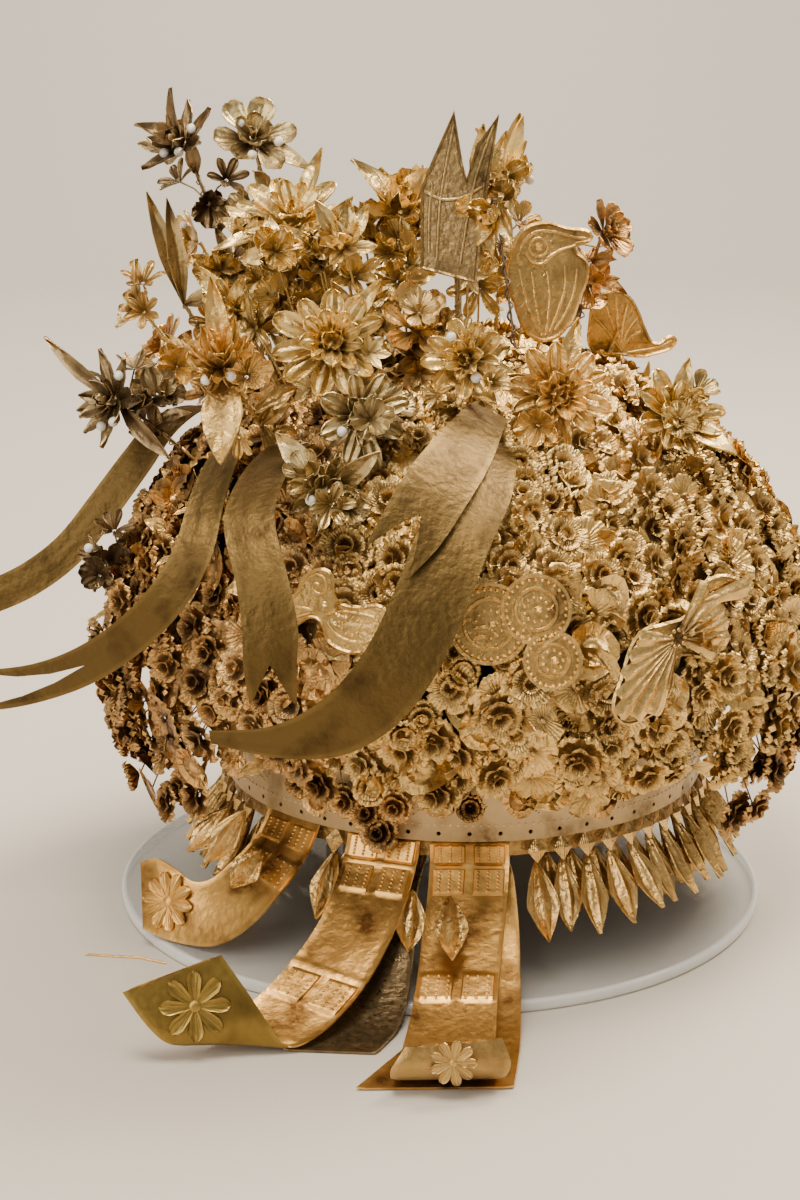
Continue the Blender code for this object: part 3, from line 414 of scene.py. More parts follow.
DARK_FOIL = gilt_material(
    "dark_foil", (0.42, 0.30, 0.15), (0.16, 0.10, 0.045), (0.028, 0.016, 0.008),
    tarnish=0.7, crumple=1.2,
)
AMBER_FOIL = gilt_material(
    "amber_foil", (1.0, 0.70, 0.28), (0.55, 0.34, 0.105), (0.09, 0.046, 0.015),
    tarnish=0.45, crumple=1.2, bump=0.3,
)
RIBBON_FOIL = gilt_material(
    "ribbon_foil", (0.205, 0.13, 0.041), (0.11, 0.066, 0.019), (0.045, 0.024, 0.008),
    tarnish=0.6, crumple=1.2, bump=0.35, metallic=0.93, gloss=0.40,
)
STRIP_GOLD = gilt_material(
    "strip_gold", (0.94, 0.54, 0.15), (0.57, 0.30, 0.075), (0.16, 0.07, 0.018),
    tarnish=0.95, crumple=0.8, bump=0.28, metallic=0.94, gloss=0.3,
)
STRIP_BACK = gilt_material(
    "strip_back", (0.60, 0.39, 0.14), (0.34, 0.20, 0.06), (0.10, 0.05, 0.014),
    tarnish=0.7, crumple=1.0, bump=0.3, metallic=0.92, gloss=0.34,
)
STRIP_OLIVE = gilt_material(
    "strip_olive", (0.42, 0.28, 0.07), (0.19, 0.115, 0.025), (0.055, 0.03, 0.009),
    tarnish=0.7, crumple=0.3, bump=0.15, metallic=0.9, gloss=0.3,
)
BAND_GILT = gilt_material(
    "band_gilt", (0.78, 0.58, 0.31), (0.52, 0.36, 0.17), (0.18, 0.105, 0.04),
    tarnish=0.55, crumple=0.3, bump=0.15, metallic=0.7, gloss=0.4,
)
KITE_GILT = gilt_material(
    "kite_gilt", (1.0, 0.64, 0.22), (0.60, 0.365, 0.12), (0.12, 0.056, 0.018),
    tarnish=0.5, crumple=1.8, bump=0.45, metallic=0.93,
)
PLATE_FOIL = gilt_material(
    "plate_foil", (1.0, 0.66, 0.23), (0.57, 0.365, 0.125), (0.12, 0.062, 0.021),
    tarnish=0.7, crumple=1.6, bump=0.4,
)
LEAF_BROWN = gilt_material(
    "leaf_brown", (0.48, 0.34, 0.15), (0.22, 0.14, 0.055), (0.05, 0.028, 0.011),
    tarnish=0.8, crumple=1.5, bump=0.4,
)
WIRE_DARK = gilt_material(
    "wire_dark", (0.24, 0.16, 0.09), (0.10, 0.06, 0.033), (0.02, 0.013, 0.007),
    tarnish=0.6, crumple=0.6,
)
DOME_DARK = gilt_material(
    "dome_dark", (0.11, 0.06, 0.03), (0.05, 0.027, 0.011), (0.015, 0.008, 0.004),
    tarnish=0.8, crumple=1.0, bump=0.3, metallic=0.4,
)
print("materials", len(bpy.data.materials))

# %% [markdown]
# The seed pearls have a cloudy cream body under a clear skin. Subsurface light could give the cloud, but at
# four millimetres soft noise in the colour and the roughness, under a coat, looks the same and is quicker.

# %% Pearl
PEARL_SHADE = (0.72, 0.66, 0.56, 1.0)
PEARL_LIGHT = (0.95, 0.93, 0.90, 1.0)

PEARL, pearl_tree, pearl_shader, pearl_place = started_material("pearl")
pearl_cloud = noise(pearl_tree, pearl_place, 300.0)
pearl_tint = mix_colour(pearl_tree, pearl_cloud, PEARL_SHADE, PEARL_LIGHT)
pearl_tree.links.new(pearl_tint, pearl_shader.inputs["Base Color"])
pearl_tree.links.new(spread(pearl_tree, pearl_cloud, 0.3, 0.7, 0.15, 0.35), pearl_shader.inputs["Roughness"])
pearl_shader.inputs["Coat Weight"].default_value = 0.6
pearl_shader.inputs["Coat Roughness"].default_value = 0.1
print("pearl", len(pearl_tree.nodes), "nodes")

# %% [markdown]
# Nearly all of the headdress is petals cut and pressed from foil. A petal is drawn out by hand: a row of
# points is extruded again and again, moved on a little each time and widened or narrowed, and then its
# middle is pushed down and its rim rolled. One could draw an outline and fill it, but a filled outline has
# no rows to bend.

# %% Petals drawn out row by row
def shift(x, y, z):
    """Moves what is selected."""
    bpy.ops.transform.translate(value=(x, y, z))


def widen(factor, x, z):
    """Widens what is selected, about a point on the petal's middle line."""
    bpy.ops.transform.resize(value=(1.0, factor, 1.0), center_override=(x, 0.0, z))


def mark(thing, name, value):
    """Writes a named value on every point, from the point's place or as one number."""
    data = thing.data
    layer = data.attributes.get(name) or data.attributes.new(name, "FLOAT", "POINT")
    if callable(value):
        numbers = [value(spot.co) for spot in data.vertices]
    else:
        numbers = [value] * len(data.vertices)
    layer.data.foreach_set("value", numbers)


def drawn_petal(name, across, rows, ridge=0.0, valley=0.0, roll=0.0):
    """A petal along +X. Each row is its distance out, half width and lift, in millimetres."""
    deselect()
    bpy.ops.mesh.primitive_grid_add(x_subdivisions=1, y_subdivisions=across, size=2.0 * MM)
    made = bpy.context.object
    made.name = name
    start_edit(made)
    pick("VERT", lambda spot: spot.x > 0.0)
    bpy.ops.mesh.delete(type="VERT")
    bpy.ops.mesh.select_all(action="SELECT")
    out, half, lift = rows[0]
    shift((out + 1.0) * MM, 0.0, lift * MM)
    widen(half, out * MM, lift * MM)
    for next_out, next_half, next_lift in rows[1:]:
        move = ((next_out - out) * MM, 0.0, (next_lift - lift) * MM)
        bpy.ops.mesh.extrude_edges_move(TRANSFORM_OT_translate={"value": move})
        widen(next_half / half, next_out * MM, next_lift * MM)
        out, half, lift = next_out, next_half, next_lift

    def half_at(x):
        """The petal's half width at a distance out."""
        for near, far in zip(rows, rows[1:]):
            if x <= far[0] * MM + 1e-7:
                share = (x / MM - near[0]) / (far[0] - near[0])
                return (near[1] + (far[1] - near[1]) * share) * MM
        return rows[-1][1] * MM

    inner = rows[0][0] * MM + 0.2 * MM
    for low, high, lifted in ((0.0, 0.1, ridge), (0.3, 0.7, valley), (0.9, 1.1, roll)):
        if lifted:
            pick("VERT", lambda v: v.x > inner and low <= abs(v.y) / half_at(v.x) <= high)
            shift(0.0, 0.0, lifted * MM)
    pick("FACE", lambda middle: True)
    bpy.ops.mesh.normals_make_consistent(inside=False)
    made = end_edit()
    if made.data.polygons[0].normal.z < 0.0:
        made.data.flip_normals()
    mark(made, "rib", lambda v: v.y / (v.x + 2.0 * MM))
    return made


print("petal maker ready")

# %% [markdown]
# A finished sheet gets its thickness, its shading and its coat, and what repeats is copied with a mesh of
# its own. Linked copies would be lighter, but each copy here carries its own tint in its points.

# %% Helpers for finishing and copying
def apply_modifier(thing, name):
    """Applies one modifier."""
    take(thing)
    bpy.ops.object.modifier_apply(modifier=name)


def thicken(thing, thickness, second_side=False):
    """Gives a sheet its thickness with a modifier and applies it."""
    wall = thing.modifiers.new("Thickness", "SOLIDIFY")
    wall.thickness = thickness * MM
    wall.offset = 0.0
    if second_side:
        wall.material_offset = 1
    apply_modifier(thing, "Thickness")


def smooth(thing, angle=50.0):
    """Shades a piece smooth, except across its sharp edges."""
    take(thing)
    bpy.ops.object.shade_smooth_by_angle(angle=math.radians(angle))


def copy_of(model, matrix, tone=None):
    """A copy of a model with a mesh of its own, moved to its place in the mesh."""
    made = model.copy()
    made.data = model.data.copy()
    made.data.transform(matrix)
    bpy.context.scene.collection.objects.link(made)
    if tone is not None:
        mark(made, "tone", tone)
    return made


def join(name, things):
    """Joins objects into one, under a name."""
    deselect()
    for thing in things:
        thing.select_set(True)
    bpy.context.view_layer.objects.active = things[0]
    if len(things) > 1:
        bpy.ops.object.join()
    made = bpy.context.object
    made.name = name
    made.data.name = name
    return made


def dress(thing, material, nodes_replaced=(), extra=()):
    """Gives a finished piece its material, its body and the solids that it stands for."""
    thing.data.materials.clear()
    for coat in (material, *extra):
        thing.data.materials.append(coat)
    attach(thing, "root")
    if nodes_replaced:
        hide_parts(*nodes_replaced)


def finished(name, parts, material, slot, *nodes_replaced):
    """Joins the parts of a piece, dresses it and prints what it came to."""
    piece = join(name, parts)
    dress(piece, material, nodes_replaced)
    print(name, len(piece.data.polygons), "faces")


def away(*things):
    """Removes models whose copies are made."""
    for thing in things:
        bpy.data.objects.remove(thing)


print("finishing helpers ready")

# %% [markdown]
# Small balls serve as hubs, beads and dots. Two matrices say where a thing goes: one sets a flower on its
# stem, and one sets a petal in its flower. Parenting to empties would place them too, but a place kept in
# the mesh leaves each piece at the origin.

# %% Balls and places
def ball(name, radius, place=(0.0, 0.0, 0.0), segments=8, rings=5, flat=1.0):
    """A small ball, flattened by a factor along Z."""
    deselect()
    bpy.ops.mesh.primitive_uv_sphere_add(
        segments=segments, ring_count=rings, radius=radius * MM, location=Vector(place) * MM
    )
    made = bpy.context.object
    made.scale = (1.0, 1.0, flat)
    bpy.ops.object.transform_apply(location=True, rotation=True, scale=True)
    made.name = name
    mark(made, "wear_and_shade", 1.0)
    return made


def frame_at(place, facing, spin=0.0):
    """A matrix that sets +Z along a direction, at a place in metres, turned about itself."""
    turn = Vector(facing).to_track_quat("Z", "Y").to_matrix().to_4x4()
    return Matrix.Translation(Vector(place)) @ turn @ Matrix.Rotation(spin, 4, "Z")


def petal_place(spin, tilt, out=0.0, up=0.0, scale=(1.0, 1.0, 1.0)):
    """Where one petal of a flower goes, in the flower's own frame."""
    size = Matrix.Diagonal((*scale, 1.0))
    foot = Matrix.Translation((out * MM, 0.0, up * MM))
    return Matrix.Rotation(spin, 4, "Z") @ foot @ Matrix.Rotation(-tilt, 4, "Y") @ size


print("placing helpers ready")

# %% [markdown]
# The dome is covered with hundreds of pressed rosettes, each about as wide as a thumb. They are modelled
# once, in four kinds: a ruffled one in three layers, a smooth one with five lobes, a small tight whorl,
# and a ringed disc with a scalloped edge. Because there are hundreds, each has few faces, and smooth
# shading rounds them.

# %% Rosette models
def flower_of(name, layers, hub):
    """A flower from layers of petals: model, count, tilt in degrees, out, up, scale and first spin."""
    parts = []
    for model, count, tilt, out, up, scale, first in layers:
        for n in range(count):
            spin = first + math.tau * n / count
            place = petal_place(spin, math.radians(tilt), out, up, scale)
            parts.append(copy_of(model, place))
    if hub:
        parts.append(copy_of(hub, Matrix.Identity(4)))
    return join(name, parts)


lobe_rows = ((1.2, 1.2, 0.0), (4.2, 3.4, 0.9), (7.4, 4.7, 1.2), (9.6, 3.9, 2.6), (10.8, 2.2, 1.4))
ruffle_rows = ((0.8, 0.8, 0.0), (3.4, 2.6, 1.2), (5.6, 3.3, 2.6), (6.8, 1.9, 1.9))
lobe = drawn_petal("lobe", 4, lobe_rows, ridge=-0.9, valley=0.5, roll=-0.5)
mark(lobe, "wear_and_shade", lambda v: min(1.0, max(0.0, v.x / (7.5 * MM))))
ruffle = drawn_petal("ruffle", 2, ruffle_rows, ridge=-1.1)
mark(ruffle, "wear_and_shade", lambda v: min(1.0, max(0.0, v.z / (3.0 * MM))))
rosette_hub = ball("rosette_hub", 1.5, (0.0, 0.0, 0.9), 6, 3, 0.6)
mark(rosette_hub, "wear_and_shade", 0.55)

ruffled = flower_of(
    "ruffled",
    (
        (lobe, 6, -2.0, 0.0, 0.0, (1.0, 1.0, 1.0), 0.0),
        (ruffle, 6, 8.0, 0.6, 0.9, (1.0, 1.1, 1.0), 0.5),
        (ruffle, 4, 34.0, 0.0, 1.2, (0.7, 0.9, 0.9), 0.2),
    ),
    rosette_hub,
)
five_lobed = flower_of("five_lobed", ((lobe, 5, -4.0, -0.4, 0.0, (1.02, 1.25, 0.9), 0.0),), rosette_hub)
tight_whorl = flower_of(
    "tight_whorl",
    (
        (lobe, 7, 16.0, -0.5, 0.0, (0.82, 0.8, 1.2), 0.0),
        (ruffle, 4, 30.0, -0.2, 0.6, (0.9, 1.2, 1.0), 0.2),
    ),
    None,
)

print("petals", [len(model.data.polygons) for model in (lobe, ruffle)])

# %% [markdown]
# The scalloped disc is another kind of flower: its rings are one circle, inset once and then extruded
# outwards, up and down. At the end every other point of its edge is drawn out. A ring of small lobes could
# be joined on instead, but this keeps one sheet, as the stamp does.

# %% The scalloped disc
SCALLOP_POINTS = 14
DISC_RINGS = ((6.2, 0.9), (7.0, -0.1), (9.8, 0.6))


def on_scallop(v):
    """Whether a point is on the edge, at every other step round it."""
    step = int(round(math.degrees(math.atan2(v.y, v.x)) * SCALLOP_POINTS / 360))
    return v.xy.length > 9.0 * MM and step % 2 == 0


deselect()
bpy.ops.mesh.primitive_circle_add(vertices=SCALLOP_POINTS, radius=3.2 * MM, fill_type="NGON")
scalloped = bpy.context.object
start_edit(scalloped)
bpy.ops.mesh.select_all(action="SELECT")
bpy.ops.mesh.select_mode(type="FACE")
bpy.ops.mesh.inset(thickness=1.2 * MM, depth=0.9 * MM)
for radius, lift in DISC_RINGS:
    here = max(vertex.co.xy.length for vertex in bmesh.from_edit_mesh(scalloped.data).verts)
    pick("EDGE", lambda v: v.xy.length > here * 0.93 and v.xy.length > 2.6 * MM)
    bpy.ops.mesh.extrude_edges_move(TRANSFORM_OT_translate={"value": (0.0, 0.0, lift * MM)})
    factor = radius * MM / here
    bpy.ops.transform.resize(value=(factor, factor, 1.0), center_override=(0.0, 0.0, 0.0))
pick("VERT", on_scallop)
bpy.ops.transform.resize(value=(1.1, 1.1, 1.0), center_override=(0.0, 0.0, 0.0))
scalloped = end_edit()
scalloped.name = "scalloped"
mark(scalloped, "wear_and_shade", lambda v: 0.35 + 0.65 * (v.z > 0.4 * MM))
ROSETTES = (ruffled, ruffled, five_lobed, tight_whorl, ruffled, scalloped)
MODELS = [lobe, ruffle, rosette_hub, ruffled, five_lobed, tight_whorl, scalloped]
for model in MODELS[3:]:
    smooth(model, 70.0)
    print(model.name, len(model.data.polygons), "faces", round(model.dimensions.x / MM, 1), "mm wide")

# %% [markdown]
# Much of what follows is laid on the dome, so rays towards its middle have to find its real surface. A
# search tree over the faces of the panels answers each ray at once. A Shrinkwrap modifier would find the
# surface too, but the tree also tells which way it faces.

# %% Rays that find the mantle
DOME_MIDDLE = Vector((0.0, 0.0, 0.125))
GOLDEN_ANGLE = math.pi * (3.0 - math.sqrt(5.0))
PANELS = (
    ("front", -90.0),
    ("front_right", -45.0),
    ("right", 0.0),
    ("back_right", 45.0),
    ("back", 90.0),
    ("back_left", 135.0),
    ("left", 180.0),
    ("front_left", -135.0),
)


def tree_over(names):
    """A search tree over the faces of some nodes of the frame."""
    spots = []
    faces = []
    for node in names:
        start = len(spots)
        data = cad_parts[node].data
        spots += [v.co.copy() for v in data.vertices]
        faces += [[start + index for index in face.vertices] for face in data.polygons]
    return BVHTree.FromPolygons(spots, faces)


def golden_ray(number, count, lowest_sine, sway):
    """The direction of one of many points strewn evenly over the dome, from its top down."""
    sine = 1.0 + (lowest_sine - 1.0) * (number + 0.5) / count
    azimuth = number * GOLDEN_ANGLE + sway
    level = math.sqrt(1.0 - sine * sine)
    return Vector((level * math.cos(azimuth), level * math.sin(azimuth), sine))


panel_nodes = ["rosette_panel_" + name for name, _ in PANELS]
mantle_tree = tree_over([*panel_nodes, "rosette_cap"])
print("mantle", len(panel_nodes), "panels and a cap")

# %% [markdown]
# The rosettes are strewn over the dome so evenly that none hides, yet in no rows. Points that turn by the
# golden angle as they go down do this. Where a ray meets the surface, the rosette is laid, a little tilted.
# An instancing modifier would scatter them too, but a ray says which panel of the dome each belongs to, so
# each panel keeps its own joined piece.

# %% The mantle of rosettes
ROSETTE_COUNT = 1500
LOWEST_SINE = -0.56
RAY_START = 0.4
RIM_RADIUS = 98.0
SHOULDER_HEIGHT = 150.0
CAP_RADIUS = 47.0
FOOT_BEHIND = 66.0
FOOT_AHEAD = (79.0, 91.0)
RUST_SIDES = ("rosette_panel_front_left", "rosette_panel_left", "rosette_panel_back_left")


def panel_of(spot):
    """The node that a point of the mantle lies on."""
    if spot.xy.length <= CAP_RADIUS * MM:
        return "rosette_cap"
    degrees = math.degrees(math.atan2(spot.y, spot.x))
    nearest = min(PANELS, key=lambda row: abs((degrees - row[1] + 180.0) % 360.0 - 180.0))
    return "rosette_panel_" + nearest[0]


chance = random.Random(21)
strewn = {name: [] for name in (*panel_nodes, "rosette_cap")}
for number in range(ROSETTE_COUNT):
    way = golden_ray(number, ROSETTE_COUNT, LOWEST_SINE, chance.uniform(-0.04, 0.04))
    spot, normal, _, _ = mantle_tree.ray_cast(DOME_MIDDLE + way * RAY_START, -way)
    if spot is None or spot.xy.length < RIM_RADIUS * MM and spot.z < SHOULDER_HEIGHT * MM:
        continue
    ahead = -spot.y / spot.xy.length
    if spot.z < (chance.uniform(*FOOT_AHEAD) if ahead > 0.3 else FOOT_BEHIND) * MM:
        continue
    tilt = Vector([chance.uniform(-0.28, 0.28) for _ in range(3)])
    if normal.dot(way) < 0.0:
        normal = -normal
    facing = (way * 0.8 + normal * 0.25 + tilt).normalized()
    size = chance.uniform(0.74, 1.08)
    place = frame_at(spot + way * chance.uniform(-2.5, 1.0) * MM, facing, chance.uniform(0.0, 6.0))
    shape = (size, size * chance.uniform(0.85, 1.1), size * chance.uniform(0.8, 1.5), 1.0)
    model = chance.choice(ROSETTES)
    rosette = copy_of(model, place @ Matrix.Diagonal(shape), chance.uniform(-0.9, 0.9))
    strewn[panel_of(spot)].append(rosette)
for node, things in strewn.items():
    count = len(things)
    piece = join("rosettes" + node.removeprefix("rosette"), things)
    rust = node in RUST_SIDES
    dress(piece, ROSETTE_RUST if rust else ROSETTE_GILT, (node,))
    print(piece.name, count, "rosettes", len(piece.data.polygons), "faces")
for node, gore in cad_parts.items():
    if node.startswith("crown_frame"):
        gore.data.materials.clear()
        gore.data.materials.append(DOME_DARK)

# %% [markdown]
# The stand is clear acrylic. Clear glass could be true glass, but the pale film that one sees on acrylic, a
# painted reflection, comes through better when it is nearly see-through: the film is thicker where the
# surface turns away, and on the rim of the disc it is a painted highlight, which a distance from the disc's
# middle finds.

# %% Clear acrylic
DISC_MIDDLE = (-10.0, 0.0)
DISC_RADIUS = 137.0
CLEAR_SHADE = (0.80, 0.82, 0.80, 1.0)
CLEAR_LIGHT = (0.90, 0.91, 0.89, 1.0)

CLEAR, clear_tree, clear_shader, clear_place = started_material("clear_acrylic")
clear_haze = noise(clear_tree, clear_place, 90.0)
clear_tint = mix_colour(clear_tree, clear_haze, CLEAR_SHADE, CLEAR_LIGHT)
clear_tree.links.new(clear_tint, clear_shader.inputs["Base Color"])
clear_tree.links.new(spread(clear_tree, clear_haze, 0.4, 0.7, 0.03, 0.12), clear_shader.inputs["Roughness"])
# Where the surface turns away it is made paler and more opaque, a painted reflection.
clear_edge = clear_tree.nodes.new("ShaderNodeLayerWeight")
clear_edge.inputs["Blend"].default_value = 0.25
clear_reflection_alpha = spread(clear_tree, clear_edge.outputs["Facing"], 0.0, 0.9, 0.10, 0.6)
clear_spot = clear_place
for operation, value in (
    ("ADD", (-DISC_MIDDLE[0] * MM, -DISC_MIDDLE[1] * MM, 0.0)),
    ("MULTIPLY", (1.0, 1.0, 0.0)),
    ("LENGTH", (0.0, 0.0, 0.0)),
):
    step = clear_tree.nodes.new("ShaderNodeVectorMath")
    step.operation = operation
    step.inputs[1].default_value = value
    clear_tree.links.new(clear_spot, step.inputs[0])
    clear_spot = step.outputs["Value" if operation == "LENGTH" else "Vector"]
# Near the rim of the disc it is paler and more opaque too, a painted highlight on the edge.
rim_start = (DISC_RADIUS - 2.5) * MM
rim_full = (DISC_RADIUS - 0.5) * MM
clear_rim_highlight = spread(clear_tree, clear_spot, rim_start, rim_full, 0.0, 0.55)
clear_alpha = maths(clear_tree, "ADD", clear_reflection_alpha, clear_rim_highlight, clamp=True)
clear_tree.links.new(clear_alpha, clear_shader.inputs["Alpha"])
clear_shader.inputs["IOR"].default_value = 1.46
clear_shader.inputs["Metallic"].default_value = 0.0
print("clear acrylic", len(clear_tree.nodes), "nodes")

# %% [markdown]
# The stand is one piece: a broad disc on the table, and a post and a pad that the dome hides. It starts as a
# cylinder, and its top face is inset and extruded upwards in steps, as one would draw it up by hand. A
# turned profile would do as well, but the steps show where each part begins.

# %% The clear stand
DISC_THICKNESS = 5.0
POST_RADIUS = 9.0
PAD_RADIUS = 30.0
PAD_TOP = 216.9
PAD_THICKNESS = 10.0
RIM_ROUNDING = 1.6

deselect()
bpy.ops.mesh.primitive_cylinder_add(
    vertices=128,
    radius=DISC_RADIUS * MM,
    depth=DISC_THICKNESS * MM,
    location=(DISC_MIDDLE[0] * MM, DISC_MIDDLE[1] * MM, DISC_THICKNESS / 2.0 * MM),
)
stand = bpy.context.object
stand.name = "clear_stand"
bpy.ops.object.transform_apply(location=True)
start_edit(stand)
pick("FACE", lambda middle: middle.z > (DISC_THICKNESS - 0.1) * MM)
bpy.ops.mesh.inset(thickness=(DISC_RADIUS - POST_RADIUS) * MM, depth=0.0)
for rise, radius_ratio in (
    (PAD_TOP - PAD_THICKNESS - DISC_THICKNESS, 1.0),
    (PAD_THICKNESS / 2.0, PAD_RADIUS / POST_RADIUS),
    (PAD_THICKNESS / 2.0, 1.0),
):
    bpy.ops.mesh.extrude_region_move(TRANSFORM_OT_translate={"value": (0.0, 0.0, rise * MM)})
    disc_middle = (DISC_MIDDLE[0] * MM, DISC_MIDDLE[1] * MM, 0.0)
    bpy.ops.transform.resize(value=(radius_ratio, radius_ratio, 1.0), center_override=disc_middle)
stand = end_edit()
rounded = stand.modifiers.new("Rounded rim", "BEVEL")
rounded.width = RIM_ROUNDING * MM
rounded.segments = 4
rounded.limit_method = "ANGLE"
rounded.angle_limit = math.radians(60.0)
apply_modifier(stand, "Rounded rim")
smooth(stand, 35.0)
dress(stand, CLEAR, ("display_stand",))
print("stand", len(stand.data.polygons), "faces")

# %% [markdown]
# The diadem band is a plain gilt strip. It begins as a ring of points, is extruded upwards, loses its back
# half and gets the thickness of sheet. A turned profile would make it too, and would need cutting as well.

# %% The sheet of the diadem band
RIM_HEIGHT = 57.0
BAND_TOP = 82.0
BAND_RADIUS = 99.4
BAND_WALL = 1.3
BAND_HALF_ANGLE = 100.0

deselect()
bpy.ops.mesh.primitive_circle_add(vertices=180, radius=(BAND_RADIUS + BAND_WALL / 2.0) * MM)
band = bpy.context.object
band.name = "band_sheet"
start_edit(band)
bpy.ops.mesh.select_all(action="SELECT")
shift(0.0, 0.0, RIM_HEIGHT * MM)
bpy.ops.mesh.extrude_edges_move(TRANSFORM_OT_translate={"value": (0.0, 0.0, (BAND_TOP - RIM_HEIGHT) * MM)})
back_line = (BAND_RADIUS + BAND_WALL) * MM * math.sin(math.radians(BAND_HALF_ANGLE - 90.0))
pick("VERT", lambda v: v.y > back_line)
bpy.ops.mesh.delete(type="VERT")
bpy.ops.mesh.select_all(action="SELECT")
bpy.ops.mesh.normals_make_consistent(inside=False)
band = end_edit()
thicken(band, BAND_WALL)

print("band sheet", len(band.data.polygons), "faces")

# %% [markdown]
# A row of small holes runs along the foot of the band. Drills are set round the rim, joined into one, and
# cut out of the sheet with one Boolean. Cutting them one by one would take as many modifiers as holes.

# %% The holes of the band
HOLE_HEIGHT = 60.2
HOLE_RADIUS = 0.9
HOLES = 29


def round_the_rim(angle, radius, height):
    """A point in metres at an angle from straight ahead towards the wearer's left."""
    turn = math.radians(angle - 90.0)
    return Vector((radius * math.cos(turn), radius * math.sin(turn), height)) * MM


def outward(angle):
    """The level direction out of the rim at that angle."""
    return round_the_rim(angle, 1.0, 0.0).normalized()


drills = []
for hole in range(HOLES):
    angle = (BAND_HALF_ANGLE - 4.0) * (2.0 * hole / (HOLES - 1) - 1.0)
    place = frame_at(round_the_rim(angle, BAND_RADIUS + BAND_WALL / 2.0, HOLE_HEIGHT), outward(angle))
    deselect()
    bpy.ops.mesh.primitive_cylinder_add(vertices=10, radius=HOLE_RADIUS * MM, depth=5.0 * MM)
    drill = bpy.context.object
    drill.data.transform(place)
    drills.append(drill)
drill = join("drills", drills)
holes = band.modifiers.new("Holes", "BOOLEAN")
holes.operation = "DIFFERENCE"
holes.solver = "EXACT"
holes.object = drill
apply_modifier(band, "Holes")
away(drill)
smooth(band, 40.0)
mark(band, "wear_and_shade", lambda v: 0.35 + 0.4 * (v.z / MM - RIM_HEIGHT) / (BAND_TOP - RIM_HEIGHT))
print("holes", HOLES)

# %% [markdown]
# Above the holes run a line of pressed dots and dotted fans. The dots could be bump alone, but real ones
# catch the light at the rim.

# %% The dots of the band
DOTS = 118
DOT_LINE_HEIGHT = 63.6
FANS = 13
FAN_SPACING = 14.0
FAN_FOOT_HEIGHT = 64.6
RAY_ANGLE = 22.0


def dot_at(angle, height):
    """A pressed dot on the outside of the band."""
    return copy_of(dot, frame_at(round_the_rim(angle, BAND_RADIUS + BAND_WALL, height), outward(angle)))


dot = ball("dot", 0.62, segments=6, rings=3, flat=0.6)
dots = []
for n in range(DOTS):
    dots.append(dot_at((BAND_HALF_ANGLE - 1.5) * (2.0 * n / (DOTS - 1) - 1.0), DOT_LINE_HEIGHT))
for fan in range(FANS):
    middle = FAN_SPACING * (fan - (FANS - 1) / 2)
    for ray in range(-2, 3):
        for step in range(3):
            turn = math.radians(RAY_ANGLE * ray)
            reach = 4.0 + 2.6 * step
            angle = middle + math.degrees(reach * math.sin(turn) / BAND_RADIUS)
            dots.append(dot_at(angle, FAN_FOOT_HEIGHT + reach * math.cos(turn)))
finished("diadem_band_sheet", [band, *dots], BAND_GILT, "pale_gilt", "diadem_band")

# %% [markdown]
# Under the band hangs a fringe from a plain ring. The ring is a circle that is extruded upwards and
# thickened. A torus would be round in section, and this one is flat sheet.

# %% The ring of the fringe
RING_MIDDLE = 96.75
RING_THICKNESS = 3.1
RING_FOOT = 50.0
RING_TOP = 56.6

deselect()
bpy.ops.mesh.primitive_circle_add(vertices=120, radius=RING_MIDDLE * MM)
ring = bpy.context.object
start_edit(ring)
bpy.ops.mesh.select_all(action="SELECT")
shift(0.0, 0.0, RING_FOOT * MM)
bpy.ops.mesh.extrude_edges_move(TRANSFORM_OT_translate={"value": (0.0, 0.0, (RING_TOP - RING_FOOT) * MM)})
bpy.ops.mesh.select_all(action="SELECT")
bpy.ops.mesh.normals_make_consistent(inside=False)
ring = end_edit()
thicken(ring, RING_THICKNESS)
mark(ring, "wear_and_shade", 0.25)
print("ring", len(ring.data.polygons), "faces")

# %% [markdown]
# Small lozenges carry long kites. A kite is a petal drawn out in few rows and pressed up along its middle.
# A flat outline with a bevel would look cut from board, and these are pressed from foil.

# %% Kite and lozenge
KITE_LENGTH = 30.0
KITE_ROWS = (
    (0.0, 0.5, 0.0), (2.0, 1.8, 0.2), (8.0, 4.3, 0.7), (14.0, 6.2, 1.0), (17.0, 6.6, 1.0),
    (24.0, 3.8, 0.5), (KITE_LENGTH, 0.3, 0.0),
)
LOZENGE_LENGTH = 7.2
LOZENGE_ROWS = ((0.0, 0.3, 0.0), (LOZENGE_LENGTH / 2.0, 3.9, 0.5), (LOZENGE_LENGTH, 0.3, 0.0))

kite = drawn_petal("kite", 4, KITE_ROWS, ridge=2.0, valley=-0.2, roll=0.5)
thicken(kite, 0.45)
smooth(kite, 30.0)
mark(kite, "wear_and_shade", lambda v: 0.45 + 0.5 * (abs(v.y) < 0.3 * MM) + 0.3 * (abs(v.y) > 3.4 * MM))
lozenge = drawn_petal("lozenge", 2, LOZENGE_ROWS, ridge=1.2)
thicken(lozenge, 0.4)
mark(lozenge, "wear_and_shade", 0.7)


def hung(top, tip, facing, length):
    """A matrix that lays a drawn petal from one point to another, with its face one way."""
    along = (tip - top).normalized()
    across = Vector(facing).cross(along).normalized()
    face = along.cross(across)
    turn = Matrix((along, across, face)).transposed().to_4x4()
    stretch = Matrix.Diagonal(((tip - top).length / (length * MM), 1.0, 1.0, 1.0))
    return Matrix.Translation(top) @ turn @ stretch


print("kite", len(kite.data.polygons), "faces")

# %% [markdown]
# Each kite hangs a little differently, which tells the eye that they are loose, so their tips are moved by
# a seeded random sway. A row hangs behind the first, tinted darker as a painted shade. The angles run from
# the front left round the back to the front again, and one kite more hangs between the strips.

# %% The kite fringe
KITE_ANGLES = [61.0 + 284.0 * n / 47 for n in range(48)] + [31.2]
REAR_STEP = 3.0

